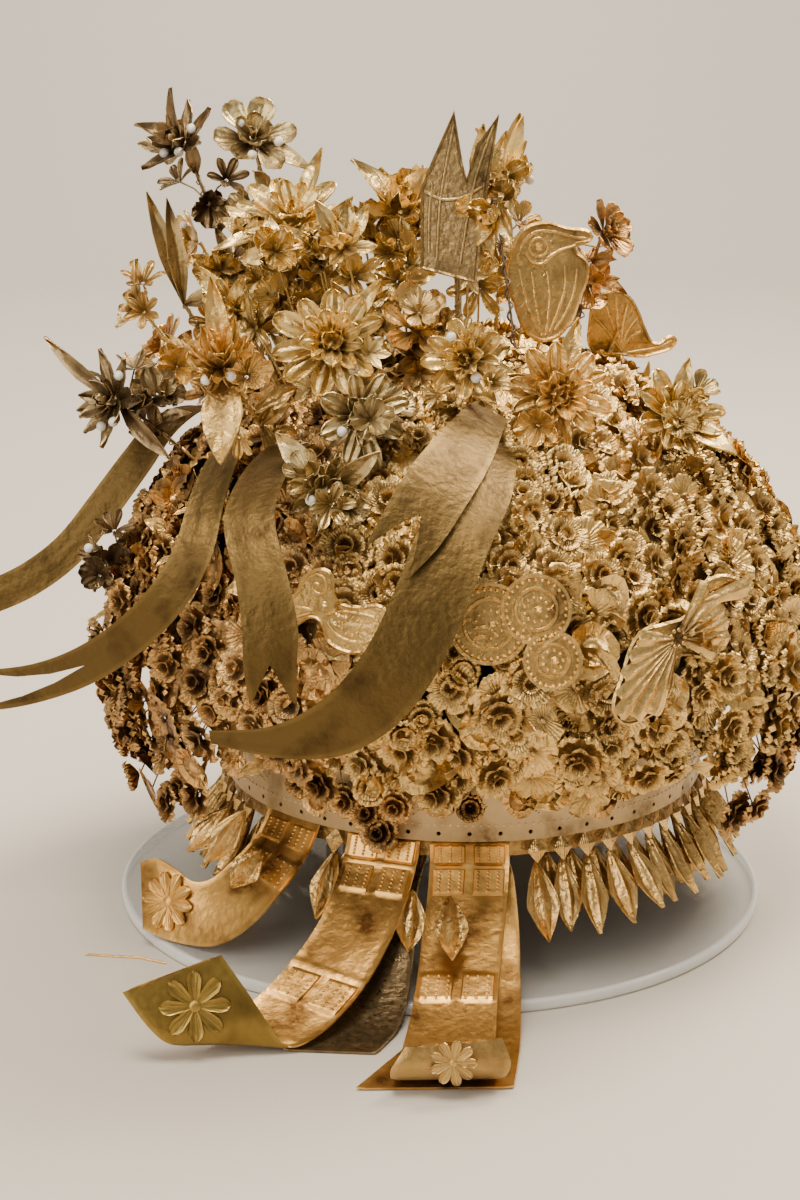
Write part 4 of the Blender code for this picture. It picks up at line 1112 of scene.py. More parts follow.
swing = random.Random(11)
kites = []
rear_kites = []
links = []
for left_angle in KITE_ANGLES:
    angle = -left_angle
    top = round_the_rim(angle, 100.6, 47.5)
    tip_angle = angle + swing.uniform(-1.6, 1.6)
    tip = round_the_rim(tip_angle, swing.uniform(114.5, 118.5), swing.uniform(20.5, 25.0))
    facing = outward(angle + swing.uniform(-16.0, 16.0)) + Vector((0.0, 0.0, 0.5))
    kites.append(copy_of(kite, hung(top, tip, facing, KITE_LENGTH), swing.uniform(-0.5, 0.6)))
    link_top = round_the_rim(angle, 100.2, 57.0)
    link_foot = round_the_rim(angle, 102.6, 48.0)
    lozenge_place = hung(link_top, link_foot, outward(angle), LOZENGE_LENGTH)
    links.append(copy_of(lozenge, lozenge_place, swing.uniform(0.2, 1.0)))
    rear_angle = angle + REAR_STEP
    rear_top = round_the_rim(rear_angle, 96.5, 49.5)
    rear_tip = round_the_rim(rear_angle, 107.0, swing.uniform(22.0, 27.0))
    # The rear row takes a fixed dark tone, a painted shade behind the first row.
    rear_kites.append(copy_of(kite, hung(rear_top, rear_tip, outward(rear_angle), KITE_LENGTH), -0.9))
finished("kite_fringe_hung", [ring, *kites, *links, *rear_kites], KITE_GILT, "gilt", "kite_fringe")
away(dot)
MODELS += [kite, lozenge]

# %% [markdown]
# Five broad strips hang from the front left of the rim, run out over the table and curl. Each route is a
# short table with one row for each section: its middle, the direction across it and its width, in
# millimetres. A bend modifier could curl one sheet, but these twist as they curl.

# %% Routes of the strips
STRIP_LEFT = (
    (-69, -71.3, 56.4, 0.72, -0.69, 0.00, 29),
    (-74, -75.5, 46.0, 0.71, -0.70, -0.05, 29),
    (-84, -80.0, 34.0, 0.66, -0.73, -0.18, 30),
    (-95, -82.0, 23.5, 0.55, -0.75, -0.38, 30),
    (-105, -80.0, 18.6, 0.38, -0.68, -0.63, 30),
    (-114, -75.0, 19.0, 0.18, -0.52, -0.83, 31),
    (-124, -69.0, 20.4, 0.08, -0.42, -0.90, 32),
    (-132, -64.0, 19.6, 0.05, -0.40, -0.91, 27),
)
STRIP_MIDDLE = (
    (-33, -93.6, 56.4, 0.943, -0.333, 0.00, 30),
    (-35, -98.0, 47.0, 0.943, -0.333, 0.00, 30),
    (-39, -108.0, 37.0, 0.94, -0.34, -0.02, 30),
    (-45, -121.0, 27.0, 0.93, -0.36, -0.08, 30),
    (-54, -136.0, 17.5, 0.91, -0.38, -0.14, 31),
    (-65, -150.0, 10.0, 0.90, -0.38, -0.18, 31),
    (-76, -161.0, 5.2, 0.93, -0.30, -0.10, 32),
    (-86, -169.0, 4.2, 0.98, 0.02, -0.06, 34),
    (-93, -172.5, 10.0, 0.97, 0.16, 0.12, 37),
    (-101, -171.5, 20.0, 0.94, 0.22, 0.26, 38),
    (-110, -168.0, 32.0, 0.93, 0.24, 0.28, 38),
)
STRIP_DARK = (
    (-23, -93.9, 49.4, 0.97, -0.24, 0.00, 14),
    (-28, -101.5, 37.0, 0.95, -0.28, 0.00, 16),
    (-32, -114.0, 22.0, 0.95, -0.30, 0.00, 22),
    (-37, -130.0, 9.5, 0.96, -0.26, 0.00, 28),
    (-43, -147.0, 2.4, 0.98, -0.18, 0.00, 32),
    (-50, -162.0, 0.85, 0.99, -0.10, 0.00, 34),
    (-53, -168.0, 0.85, 0.99, -0.08, 0.00, 34),
)
STRIP_FRONT = (
    (0, -99.3, 56.4, 1.0, 0.0, 0.0, 31),
    (0, -101.0, 47.0, 1.0, 0.0, 0.0, 31),
    (-1, -109.0, 36.5, 1.0, 0.0, 0.0, 31),
    (-3, -122.0, 26.0, 1.0, 0.0, 0.0, 31),
    (-5, -138.0, 16.5, 1.0, 0.0, 0.0, 31),
    (-7, -155.0, 9.0, 1.0, 0.0, 0.0, 32),
    (-9, -172.0, 4.5, 1.0, 0.02, 0.0, 34),
    (-10, -188.0, 3.2, 1.0, 0.03, 0.0, 37),
    (-10, -199.0, 5.6, 1.0, 0.03, 0.0, 40),
    (-9, -203.0, 12.5, 1.0, 0.03, 0.04, 42),
    (-8, -201.0, 20.5, 0.99, 0.04, 0.08, 34),
)
STRIP_REAR = (
    (5, -96.6, 49.4, 1.0, 0.0, 0.0, 20),
    (6, -101.0, 41.0, 1.0, 0.0, 0.0, 23),
    (6, -112.0, 26.5, 1.0, 0.0, 0.0, 26),
    (4, -128.0, 13.5, 1.0, 0.0, 0.0, 30),
    (1, -145.0, 5.0, 1.0, 0.0, 0.0, 35),
    (-3, -162.0, 1.2, 1.0, 0.0, 0.0, 41),
    (-9, -181.0, 0.85, 1.0, 0.0, 0.0, 49),
    (-14.5, -197.0, 0.85, 1.0, 0.02, 0.0, 56),
)

print("routes", [len(rows) for rows in (STRIP_LEFT, STRIP_MIDDLE, STRIP_DARK, STRIP_FRONT, STRIP_REAR)])

# %% [markdown]
# A strip is cut flat, pressed and then bent, and so is the model: a flat grid gets its raised panes with the
# inset tool, and then every point is laid on the route, on a smooth curve through its rows. A mesh drawn
# along the curve from the start could not be pressed so simply.

# %% Flat sheets laid on a route
FLAT_WIDTH = 30.0
FLAT_SECTION = 10.0


def between_rows(rows, t):
    """The numbers of a table at a place between its rows, on a smooth curve through them."""
    last = len(rows) - 1
    t = min(max(t, 0.0), float(last))
    k = min(int(t), last - 1)
    f = t - k
    a, b, c, d = (rows[min(max(k + step, 0), last)] for step in (-1, 0, 1, 2))
    return [
        0.5 * (2 * q + (r - p) * f + (2 * p - 5 * q + 4 * r - s) * f * f + (3 * q - p - 3 * r + s) * f**3)
        for p, q, r, s in zip(a, b, c, d)
    ]


def section(rows, t):
    """The middle, direction across, facing and width of a strip at a place along it."""
    here = between_rows(rows, t)
    before = Vector(between_rows(rows, t - 0.05)[:3])
    after = Vector(between_rows(rows, t + 0.05)[:3])
    across = Vector(here[3:6]).normalized()
    facing = (after - before).cross(across).normalized()
    return Vector(here[:3]) * MM, across, facing, here[6] * MM


def on_strip(rows, side, t, lift=0.0):
    """A point on a strip: side runs from -0.5 to 0.5 across it, and lift is off its face."""
    middle, across, facing, width = section(rows, t)
    return middle + across * side * width + facing * lift * MM


def lay(thing, rows):
    """Lays a flat pattern on a route. X is across, Y along and Z the lift."""
    for spot in thing.data.vertices:
        side = spot.co.x / (FLAT_WIDTH * MM)
        spot.co = on_strip(rows, side, spot.co.y / (FLAT_SECTION * MM), spot.co.z / MM)
    thing.data.update()


def flat_sheet(name, rows, across, along):
    """A flat grid with so many cells across and in each section."""
    sections = len(rows) - 1
    deselect()
    bpy.ops.mesh.primitive_grid_add(x_subdivisions=across, y_subdivisions=along * sections, size=1.0)
    made = bpy.context.object
    made.name = name
    length = sections * FLAT_SECTION * MM
    size = Matrix.Diagonal((FLAT_WIDTH * MM, length, 1.0, 1.0))
    made.data.transform(Matrix.Translation((0.0, length / 2.0, 0.0)) @ size)
    return made


def press_panes(thing, panes, lift):
    """Presses panes out of the flat sheet: low side, high side, low t and high t of each."""
    wide = FLAT_WIDTH * MM
    long = FLAT_SECTION * MM
    start_edit(thing)
    for low_side, high_side, low_t, high_t in panes:
        pick("FACE", lambda v: low_side < v.x / wide < high_side and low_t < v.y / long < high_t)
        bpy.ops.mesh.inset(thickness=0.5 * MM, depth=lift * MM)
    end_edit()


def point_end(thing, rows, push):
    """Draws the end of the flat sheet out to a point, or with a negative push in to a notch."""
    end = (len(rows) - 1) * FLAT_SECTION * MM
    reach = max(FLAT_SECTION * 1.5, abs(push) * 1.6) * MM
    for spot in thing.data.vertices:
        near = max(0.0, (spot.co.y - end + reach) / reach)
        middle = 1.0 - abs(spot.co.x) / (FLAT_WIDTH / 2.0 * MM)
        spot.co.y += near * middle * push * MM


print("sheet maker ready")

# %% [markdown]
# The panes show a window of beaded bars, so beads are laid in rows on each pane. The back of the sheet is
# duller than its face, so the thickness modifier hands the back its own material. Two sheets back to back
# would do it too, but they would part at the rim.

# %% A stamped strip with its beads
WINDOW = ((-0.43, -0.05), (0.05, 0.43))
WINDOW_LENGTH = 0.72
PANE_LIFT = 0.7
BEAD_LIFT = PANE_LIFT + 0.3
BEAD_ROWS = 6
STRIP_CELLS = (18, 10)

bead = ball("bead", 0.72, segments=6, rings=4, flat=0.8)


def window_panes(starts):
    """The two panes of a window at each place along a strip."""
    return [(low, high, t, t + WINDOW_LENGTH) for t in starts for low, high in WINDOW]


def beads_on(rows, panes):
    """Rows of beads on the panes of a strip."""
    made = []
    for low_side, high_side, low_t, high_t in panes:
        for column in range(3):
            side = low_side + (high_side - low_side) * (column + 0.5) / 3.0
            for step in range(BEAD_ROWS):
                t = low_t + (high_t - low_t) * (step + 0.7) / 6.4
                facing = section(rows, t)[2]
                made.append(copy_of(bead, frame_at(on_strip(rows, side, t, BEAD_LIFT), facing)))
    return made


def stamped_strip(name, rows, coats, starts, push):
    """A pressed and laid strip with its beads. The first material is its face and the second its back."""
    sheet = flat_sheet(name, rows, *STRIP_CELLS)
    for coat in coats:
        sheet.data.materials.append(coat)
    panes = window_panes(starts)
    press_panes(sheet, panes, PANE_LIFT)
    start_edit(sheet)
    pick("VERT", lambda v: abs(v.x) > (FLAT_WIDTH / 2.0 - 0.5) * MM)
    shift(0.0, 0.0, 0.45 * MM)
    for fold in starts:
        ridge = (fold - 0.14) * FLAT_SECTION * MM
        pick("VERT", lambda v: abs(v.y - ridge) < 0.35 * MM)
        shift(0.0, 0.0, 0.5 * MM)
    end_edit()
    point_end(sheet, rows, push)
    mark(sheet, "wear_and_shade", lambda v: 0.55 + 0.4 * (v.z > 0.3 * MM))
    lay(sheet, rows)
    sheet.data.flip_normals()
    thicken(sheet, 0.7, second_side=True)
    smooth(sheet, 45.0)
    return sheet, beads_on(rows, panes)


print("strip maker ready")

# %% [markdown]
# The last panel of the left, the middle and the front strip bears a flower with outlined petals. Its
# petals are one drawn petal with a rolled rim, set round a flat hub. They could be pressed from the sheet
# itself, but that grid is too coarse for so fine an outline.

# %% Flowers on the end panels
STAMPED_ROWS = ((0.0, 0.9, 0.0), (3.0, 1.9, 0.3), (7.0, 2.6, 0.4), (9.0, 2.0, 0.3), (10.2, 0.9, 0.0))

stamped_petal = drawn_petal("stamped_petal", 4, STAMPED_ROWS, ridge=0.1, valley=-0.1, roll=0.55)
thicken(stamped_petal, 0.5)
smooth(stamped_petal, 60.0)
mark(stamped_petal, "wear_and_shade", lambda v: 0.5 + 0.5 * (v.z > 0.6 * MM))
MODELS.append(stamped_petal)


def stamped_flower(coat, place, facing, petals, scale):
    """A flower of outlined petals that lies on an end panel, in the colour of the panel."""
    base = frame_at(Vector(place) * MM, facing)
    made = []
    for n in range(petals):
        place = petal_place(math.tau * n / petals, 0.0, 1.6 * scale, 0.2, (scale,) * 3)
        made.append(copy_of(stamped_petal, base @ place))
    hub = ball("flower_hub", 2.2 * scale, (0.0, 0.0, 0.3), 12, 6, 0.45)
    hub.data.transform(base)
    for part in (*made, hub):
        part.data.materials.append(coat)
    return [*made, hub]


print("stamped petal", len(stamped_petal.data.polygons), "faces")

# %% [markdown]
# The strips are finished one after another, from a table. Each row has the word that its node and its piece
# are named by, its route, where its windows start, how far its end is drawn out, its face and its back, and
# its slot. The flowers have a table of their own: a coat, a place, the way it faces, petals and scale.

# %% The five strips
STRIPS = (
    ("left", STRIP_LEFT, (0.3, 1.3), 8.0, (STRIP_GOLD, STRIP_BACK), "warm_gilt"),
    ("middle", STRIP_MIDDLE, (0.14, 1.14, 4.14), 7.0, (STRIP_GOLD, STRIP_OLIVE), "warm_gilt"),
    ("dark", STRIP_DARK, (), 1.5, (DARK_FOIL, DARK_FOIL), "dark_gilt"),
    ("front", STRIP_FRONT, (0.16, 1.14, 3.9), 4.0, (STRIP_GOLD, STRIP_BACK), "warm_gilt"),
    ("rear", STRIP_REAR, (), 1.0, (STRIP_GOLD, STRIP_BACK), "warm_gilt"),
)
END_FLOWERS = {
    "left": (STRIP_GOLD, (-120.8, -71.4, 20.0), (-0.456, -0.766, 0.317), 10, 1.02),
    "middle": (STRIP_OLIVE, (-101.6, -171.4, 20.6), (0.13, -0.889, 0.282), 8, 1.1),
    "front": (STRIP_BACK, (-8.3, -204.6, 14.5), (0.0, -1.0, 0.1), 9, 0.72),
}

for word, rows, starts, push, coats, slot in STRIPS:
    name = "strip_" + word + "_sheet"
    sheet, beads = stamped_strip(name, rows, coats, starts, push)
    if word in END_FLOWERS:
        beads += stamped_flower(*END_FLOWERS[word])
    piece = join(name, [sheet, *beads])
    back_faces = [face.index for face in piece.data.polygons if face.material_index == 1]
    dress(piece, coats[0], ("pendant_strip_" + word,), coats[1:])
    for index in back_faces:
        piece.data.polygons[index].material_index = 1
    print(name, len(piece.data.polygons), "faces")
away(bead)

# %% [markdown]
# The ribbons are smooth foil cut like silk ribbon, with swallow tails. Their routes are tables like those of
# the strips. As foil they keep their curl, so no cloth is simulated.

# %% Routes of the ribbons
RIBBON_FAR_LEFT = (
    (-98, 0.0, 207.0, 0.45, -0.80, 0.35, 12),
    (-110, -2.0, 210.0, 0.60, -0.75, 0.10, 14),
    (-124, -4.0, 203.0, 0.72, -0.62, -0.25, 14),
    (-136, -8.0, 188.0, 0.78, -0.40, -0.48, 14),
    (-149, -13.0, 171.0, 0.78, -0.28, -0.56, 14),
    (-163, -18.0, 154.0, 0.72, -0.22, -0.65, 14),
    (-179, -21.0, 142.0, 0.58, -0.20, -0.79, 14),
    (-196, -21.0, 134.0, 0.42, -0.18, -0.89, 14),
    (-213, -21.0, 129.0, 0.35, -0.18, -0.92, 14),
)
RIBBON_LEFT_LONG = (
    (-80, -56.0, 208.0, 0.66, -0.70, 0.20, 12),
    (-93, -70.0, 206.0, 0.76, -0.62, 0.05, 14),
    (-100, -91.0, 193.0, 0.86, -0.48, -0.10, 15),
    (-105, -109.0, 175.0, 0.90, -0.30, -0.28, 15),
    (-116, -112.0, 157.0, 0.84, -0.22, -0.48, 15),
    (-131, -106.0, 141.0, 0.68, -0.22, -0.70, 15),
    (-148, -98.0, 128.0, 0.50, -0.22, -0.84, 15),
    (-166, -90.0, 119.0, 0.34, -0.22, -0.91, 15),
    (-184, -84.0, 114.0, 0.15, -0.20, -0.96, 16),
    (-200, -80.0, 113.0, 0.05, -0.20, -0.97, 17),
)
RIBBON_LEFT_SHORT = (
    (-61, -72.0, 210.0, 0.85, -0.50, 0.10, 14),
    (-71, -88.0, 210.0, 0.90, -0.42, 0.05, 16),
    (-79, -112.0, 203.0, 0.96, -0.26, 0.05, 18),
    (-82, -134.0, 193.0, 0.98, -0.15, 0.10, 19),
    (-77, -150.0, 176.0, 0.98, -0.10, 0.10, 19),
    (-74, -156.0, 160.0, 0.99, -0.05, 0.02, 20),
    (-74, -158.0, 145.0, 0.99, 0.00, -0.05, 19),
    (-73, -158.0, 131.0, 0.99, 0.02, -0.05, 17),
)
RIBBON_CENTRE_SHORT = (
    (8, -68.0, 219.0, 0.75, -0.45, -0.45, 14),
    (4, -86.0, 219.0, 0.72, -0.50, -0.45, 18),
    (-4, -112.0, 213.0, 0.72, -0.45, -0.52, 23),
    (-14, -133.0, 204.0, 0.72, -0.35, -0.60, 25),
    (-23, -146.0, 193.0, 0.75, -0.25, -0.61, 24),
    (-32, -152.0, 181.0, 0.80, -0.20, -0.56, 19),
)
RIBBON_CENTRE_LONG = (
    (7, -82.0, 210.0, 0.80, -0.45, -0.35, 18),
    (5, -98.0, 207.0, 0.85, -0.38, -0.35, 22),
    (0, -120.0, 199.0, 0.90, -0.28, -0.32, 25),
    (-9, -140.0, 186.0, 0.90, -0.22, -0.36, 26),
    (-17, -152.0, 168.0, 0.90, -0.15, -0.40, 26),
    (-26, -158.0, 149.0, 0.86, -0.10, -0.50, 26),
    (-38, -160.0, 132.0, 0.72, -0.05, -0.68, 25),
    (-54, -159.0, 120.0, 0.50, 0.00, -0.86, 21),
    (-74, -154.0, 114.0, 0.28, 0.02, -0.95, 12),
    (-97, -145.0, 113.0, 0.15, 0.05, -0.98, 5),
)
print("ribbon routes ready")

# %% [markdown]
# A ribbon is laid on its route as a strip is, with nothing pressed in it but a faint crease. Then it moves
# along its own way to where its solid is seated. The routes could be redrawn there instead, but then they
# would no longer say the same as those of the solids.

# %% The foil ribbons
RIBBON_CELLS = (8, 8)


def foil_ribbon(name, node, rows, seat_way, seat_travel, push):
    """A smooth ribbon on its route, moved to where its solid is seated on the mantle."""
    sheet = flat_sheet(name, rows, *RIBBON_CELLS)
    start_edit(sheet)
    pick("VERT", lambda v: abs(v.x) < 0.2 * MM)
    shift(0.0, 0.0, 0.35 * MM)
    end_edit()
    point_end(sheet, rows, push)
    mark(sheet, "wear_and_shade", lambda v: 0.45 + 0.35 * (abs(v.x) > 0.45 * FLAT_WIDTH * MM))
    lay(sheet, rows)
    sheet.data.flip_normals()
    sheet.data.transform(Matrix.Translation(Vector(seat_way).normalized() * seat_travel * MM))
    thicken(sheet, 0.45)
    smooth(sheet, 60.0)
    dress(sheet, RIBBON_FOIL, (node,))
    print(name, len(sheet.data.polygons), "faces")


# Each row is the word of its node, its route, the way it is moved to its seat and how far, and how far
# its end is drawn out, or in to a notch where that is negative.
RIBBONS = (
    ("far_left", RIBBON_FAR_LEFT, (1.0, 0.15, -0.3), 0.55, -12.0),
    ("left_long", RIBBON_LEFT_LONG, (0.7, 0.7, -0.3), 1.15, -30.0),
    ("left_short", RIBBON_LEFT_SHORT, (0.6, 0.75, -0.3), 1.25, -11.0),
    ("centre_short", RIBBON_CENTRE_SHORT, (-0.2, 0.7, -0.6), -3.85, -13.0),
    ("centre_long", RIBBON_CENTRE_LONG, (-0.2, 0.8, -0.55), -6.85, 3.0),
)

for word, rows, seat_way, seat_travel, push in RIBBONS:
    foil_ribbon(word + "_foil", "ribbon_" + word, rows, seat_way, seat_travel, push)


# %% [markdown]
# Above the dome stands a bush of foil blossoms on wires. Four petals serve for all of them: a long one with
# an outlined rim, a pointed leafy one, a round one like a spoon, and a broad crumpled one. Each is drawn
# out row by row, given the thickness of foil and marked with where it is worn and where its painted shade
# lies. Sculpting each petal would look no richer at this size, and these can be bent, stretched and tinted
# as they are copied.

# %% Petals of the blossoms
PETAL_LENGTH = 20.0
OUTLINED_ROWS = (
    (1.0, 1.1, 0.0), (4.5, 2.2, 0.5), (9.0, 3.3, 1.1), (13.5, 3.9, 1.2), (17.0, 3.4, 0.9),
    (19.2, 2.1, 0.4), (20.0, 0.8, 0.2),
)
POINTED_ROWS = (
    (1.0, 1.2, 0.0), (4.5, 3.1, 0.3), (9.0, 4.5, 0.2), (13.0, 4.1, -0.2), (16.5, 2.5, -0.3),
    (20.0, 0.25, 0.4),
)
SPOON_ROWS = (
    (1.0, 0.9, 0.0), (5.0, 1.3, 0.4), (8.5, 3.6, 0.9), (12.5, 5.4, 0.9), (16.5, 5.2, 0.8),
    (19.2, 3.3, 1.3), (20.0, 1.4, 1.5),
)
CRUMPLED_ROWS = (
    (1.0, 2.2, 0.0), (4.5, 5.2, 1.4), (8.5, 7.4, 0.4), (12.5, 8.0, 2.0), (16.5, 6.4, 0.8),
    (20.0, 3.6, 2.4),
)
LEAF_LENGTH = 30.0
LEAF_WIDTH = 7.2
LEAF_ROWS = (
    (0.0, 0.5, 0.0), (4.0, 1.6, 0.8), (9.0, 3.0, 1.5), (14.0, 3.6, 1.7), (20.0, 3.0, 1.3),
    (26.0, 1.5, 0.5), (30.0, 0.15, 0.0),
)


def foil_petal(name, rows, ridge, valley, roll, across=4):
    """A petal with its thickness, smooth shading, and its mark of rubbing and painted shade."""
    made = drawn_petal(name, across, rows, ridge, valley, roll)
    far = rows[-1][0] * MM
    wide = max(row[1] for row in rows) * MM
    thicken(made, 0.35)
    smooth(made, 50.0)
    mark(made, "wear_and_shade", lambda v: min(1.0, 0.2 + 0.45 * v.x / far + 0.5 * (abs(v.y) / wide) ** 2))
    MODELS.append(made)
    return made


outlined = foil_petal("outlined", OUTLINED_ROWS, 0.5, -0.5, 0.6)
pointed = foil_petal("pointed", POINTED_ROWS, -1.1, 0.2, 0.3)
spoon = foil_petal("spoon", SPOON_ROWS, -1.2, -0.5, 0.4)
crumpled = foil_petal("crumpled", CRUMPLED_ROWS, 1.6, -1.2, 0.9)
leaf = foil_petal("leaf", LEAF_ROWS, -0.8, 0.0, 0.3, 2)
pearl = ball("pearl", 2.0, segments=14, rings=8)
MODELS.append(pearl)
print("petals", [len(model.data.polygons) for model in (outlined, pointed, spoon, crumpled, leaf)])

# %% [markdown]
# Wires carry everything here. A wire is a curve through a few points with a round bevel, made a mesh. A
# spring is a wire whose points wind round its line: a few points each turn are enough, because foil and
# pearls hide most of it.

# %% Wires and springs
STEM_STEPS = 8


def wire(name, spots, radius, sides=1):
    """A round wire through points in metres."""
    line = bpy.data.curves.new(name, "CURVE")
    line.dimensions = "3D"
    line.bevel_depth = radius * MM
    line.bevel_resolution = sides
    line.use_fill_caps = True
    spline = line.splines.new("POLY")
    spline.points.add(len(spots) - 1)
    for point, spot in zip(spline.points, spots):
        point.co = (*spot, 1.0)
    made = bpy.data.objects.new(name, line)
    bpy.context.scene.collection.objects.link(made)
    take(made)
    bpy.ops.object.convert(target="MESH")
    made = bpy.context.object
    bpy.ops.object.shade_smooth()
    mark(made, "wear_and_shade", 0.5)
    return made


def wound(first, last, radius, pitch, steps=6):
    """Points of a spring from one place to another, its radius and pitch in millimetres."""
    along = last - first
    side = along.orthogonal().normalized()
    other = along.normalized().cross(side)
    turns = max(1.0, along.length / (pitch * MM))
    count = int(turns * steps)
    spots = []
    for n in range(count + 1):
        turn = math.tau * turns * n / count
        reach = radius * MM
        spots.append(first + along * (n / count) + (side * math.cos(turn) + other * math.sin(turn)) * reach)
    return spots


def stem_route(head, facing, lean=0.45):
    """A stem from the back of a flower down to the mantle, with one soft elbow."""
    top = Vector(head)
    for sideways in (0.0, 6.0, -6.0):
        aim = Vector((lean * head[0] + sideways * MM, lean * head[1], 0.150))
        way = (aim - top).normalized()
        foot = mantle_tree.ray_cast(top, way)[0]
        if foot:
            break
    elbow = foot.lerp(top, 0.6) - Vector(facing).normalized() * 3.0 * MM
    shares = [n / STEM_STEPS for n in range(STEM_STEPS + 1)]
    return [foot.lerp(elbow, share) * (1.0 - share) + elbow.lerp(top, share) * share for share in shares]


print("wires ready")

# %% [markdown]
# The bush is a table. Each row is a blossom: its name, where its head is, which way it looks, its kind, its
# petals, its radius, its cup, its coat, its slot and its pearls. A kind is two or three layers of petals:
# the model, how many petals it differs by, how much steeper it stands, and how long and wide it is. The
# named leaves have their owner, the place of their tip and their width. Places are in millimetres.

# %% Tables of the bush
KINDS = {
    "star": ((outlined, 0, 0.0, 1.0, 1.0), (outlined, -2, 26.0, 0.72, 0.8), (pointed, -4, 52.0, 0.42, 0.5)),
    "leafy": ((pointed, 0, 0.0, 1.0, 0.9), (pointed, -2, 30.0, 0.72, 0.8), (spoon, -3, 48.0, 0.45, 0.5)),
    "spoon": ((spoon, 0, 0.0, 1.0, 1.05), (spoon, -1, 28.0, 0.66, 0.75), (outlined, -2, 55.0, 0.4, 0.5)),
    "bud": ((crumpled, -1, 0.0, 1.0, 0.6), (pointed, -1, 22.0, 1.15, 0.9), (outlined, -2, 38.0, 1.0, 0.8)),
    "foil": ((crumpled, -1, 0.0, 1.0, 0.8), (crumpled, -2, 30.0, 0.8, 0.7), (outlined, -2, 55.0, 0.5, 0.6)),
}
BLOSSOMS = (
    ("top_left_spiky", (-115, 20, 313), (-0.6, -0.5, 0.6), "leafy", 7, 20, 9, DARK_FOIL, "dark_gilt", 4),
    ("top_left_round", (-86, 2, 317), (0.1, -0.8, 0.6), "spoon", 6, 18, 6, OLIVE_FOIL, "pale_gilt", 3),
    ("orange_side", (-112, 40, 272), (-0.9, -0.3, 0.1), "spoon", 7, 15, 8, AMBER_FOIL, "warm_gilt", 1),
    ("lotus", (-69, -20, 285), (0.0, -0.45, 0.9), "star", 10, 24, 10, PALE_FOIL, "pale_gilt", 1),
    ("crumpled", (-26, -8, 289), (0.1, -0.5, 0.85), "foil", 6, 22, 9, PALE_FOIL, "pale_gilt", 0),
    # This blossom sits further back in the shade, and its dark coat paints that shade.
    ("dark_round", (-73, 30, 255), (0.0, -0.9, 0.2), "spoon", 7, 16, 5, DARK_FOIL, "dark_gilt", 1),
    ("small_left", (-135, 22, 246), (-0.8, -0.4, 0.5), "spoon", 6, 13, 6, AMBER_FOIL, "warm_gilt", 1),
    ("back_left", (-128, 58, 224), (-0.7, 0.0, 0.6), "spoon", 7, 16, 5, ROSETTE_RUST, "rust_gilt", 1),
    ("dark_left", (-141, -22, 216), (-0.7, -0.6, 0.2), "leafy", 8, 20, 8, DARK_FOIL, "dark_gilt", 4),
    ("bud_cluster", (-92, -90, 240), (-0.1, -0.6, 0.8), "bud", 7, 17, 12, ROSETTE_GILT, "gilt", 5),
    ("large", (-53, -80, 248), (0.1, -0.9, 0.4), "star", 11, 22, 5, PALE_FOIL, "pale_gilt", 2),
    ("lower_centre", (-42, -97, 224), (0.3, -0.9, 0.1), "star", 8, 19, 6, OLIVE_FOIL, "olive_gilt", 2),
    ("lower_left", (-54, -113, 200), (0.2, -0.9, -0.1), "leafy", 8, 17, 5, OLIVE_FOIL, "olive_gilt", 1),
    ("middle", (-1, -80, 242), (-0.3, -0.9, 0.3), "star", 9, 17, 7, PALE_FOIL, "pale_gilt", 2),
    ("spiky_centre", (32, -78, 228), (0.2, -0.9, 0.2), "star", 10, 21, 6, ROSETTE_GILT, "gilt", 0),
    ("pale_right", (78, -62, 216), (0.3, -0.7, 0.6), "star", 9, 21, 9, PALE_FOIL, "pale_gilt", 1),
    ("behind_bird", (58, 30, 277), (0.7, -0.5, 0.4), "spoon", 7, 15, 5, ROSETTE_RUST, "rust_gilt", 0),
    ("leafy_top", (16, 10, 297), (0.1, -0.4, 0.9), "foil", 6, 16, 14, ROSETTE_GILT, "gilt", 2),
    ("round_leaves", (-21, -40, 247), (0.2, -0.6, 0.7), "spoon", 6, 18, 7, AMBER_FOIL, "warm_gilt", 1),
    ("dark", (-149, -28, 150), (-0.8, -0.55, 0.1), "leafy", 6, 13, 4, DARK_FOIL, "dark_gilt", 1),
)
LEAVES = (
    ("top_left_spiky", (-134, 12, 323), 9),
    ("top_left_spiky", (-120, 14, 337), 8),
    ("top_left_round", (-62, -4, 306), 8),
    ("lotus", (-58, -6, 315), 8),
    ("lotus", (-101, -30, 277), 9),
    ("crumpled", (-46, -12, 311), 12),
    ("crumpled", (-17, -14, 308), 12),
    ("small_left", (-136, 16, 268), 7),
    ("dark_left", (-171, -10, 240), 7),
    ("dark_left", (-118, -38, 195), 8),
    ("bud_cluster", (-97, -88, 275), 9),
    ("bud_cluster", (-93, -110, 209), 16),
    ("bud_cluster", (-108, -92, 252), 9),
    ("large", (-34, -74, 272), 8),
    ("lower_left", (-73, -102, 219), 10),
    ("lower_left", (-34, -120, 216), 9),
    ("spiky_centre", (13, -86, 238), 8),
    ("spiky_centre", (41, -64, 256), 9),
    ("pale_right", (101, -78, 206), 11),
    ("pale_right", (84, -60, 240), 9),
    ("leafy_top", (21, 2, 328), 10),
    ("leafy_top", (4, 4, 322), 9),
)
print("blossoms", len(BLOSSOMS), "leaves", len(LEAVES))

# %% [markdown]
# A blossom's petals stand steeper towards the middle, and each is turned, bent and tinted a little by a
# seeded chance, as handwork is. An even ring of copies would be simpler, and would look cast.

# %% Petals, leaves and florets of a blossom
TWIG_LEAVES = 7
TWIG_FLORETS = 4
FLORET_PETALS = 6

bush = random.Random(5)


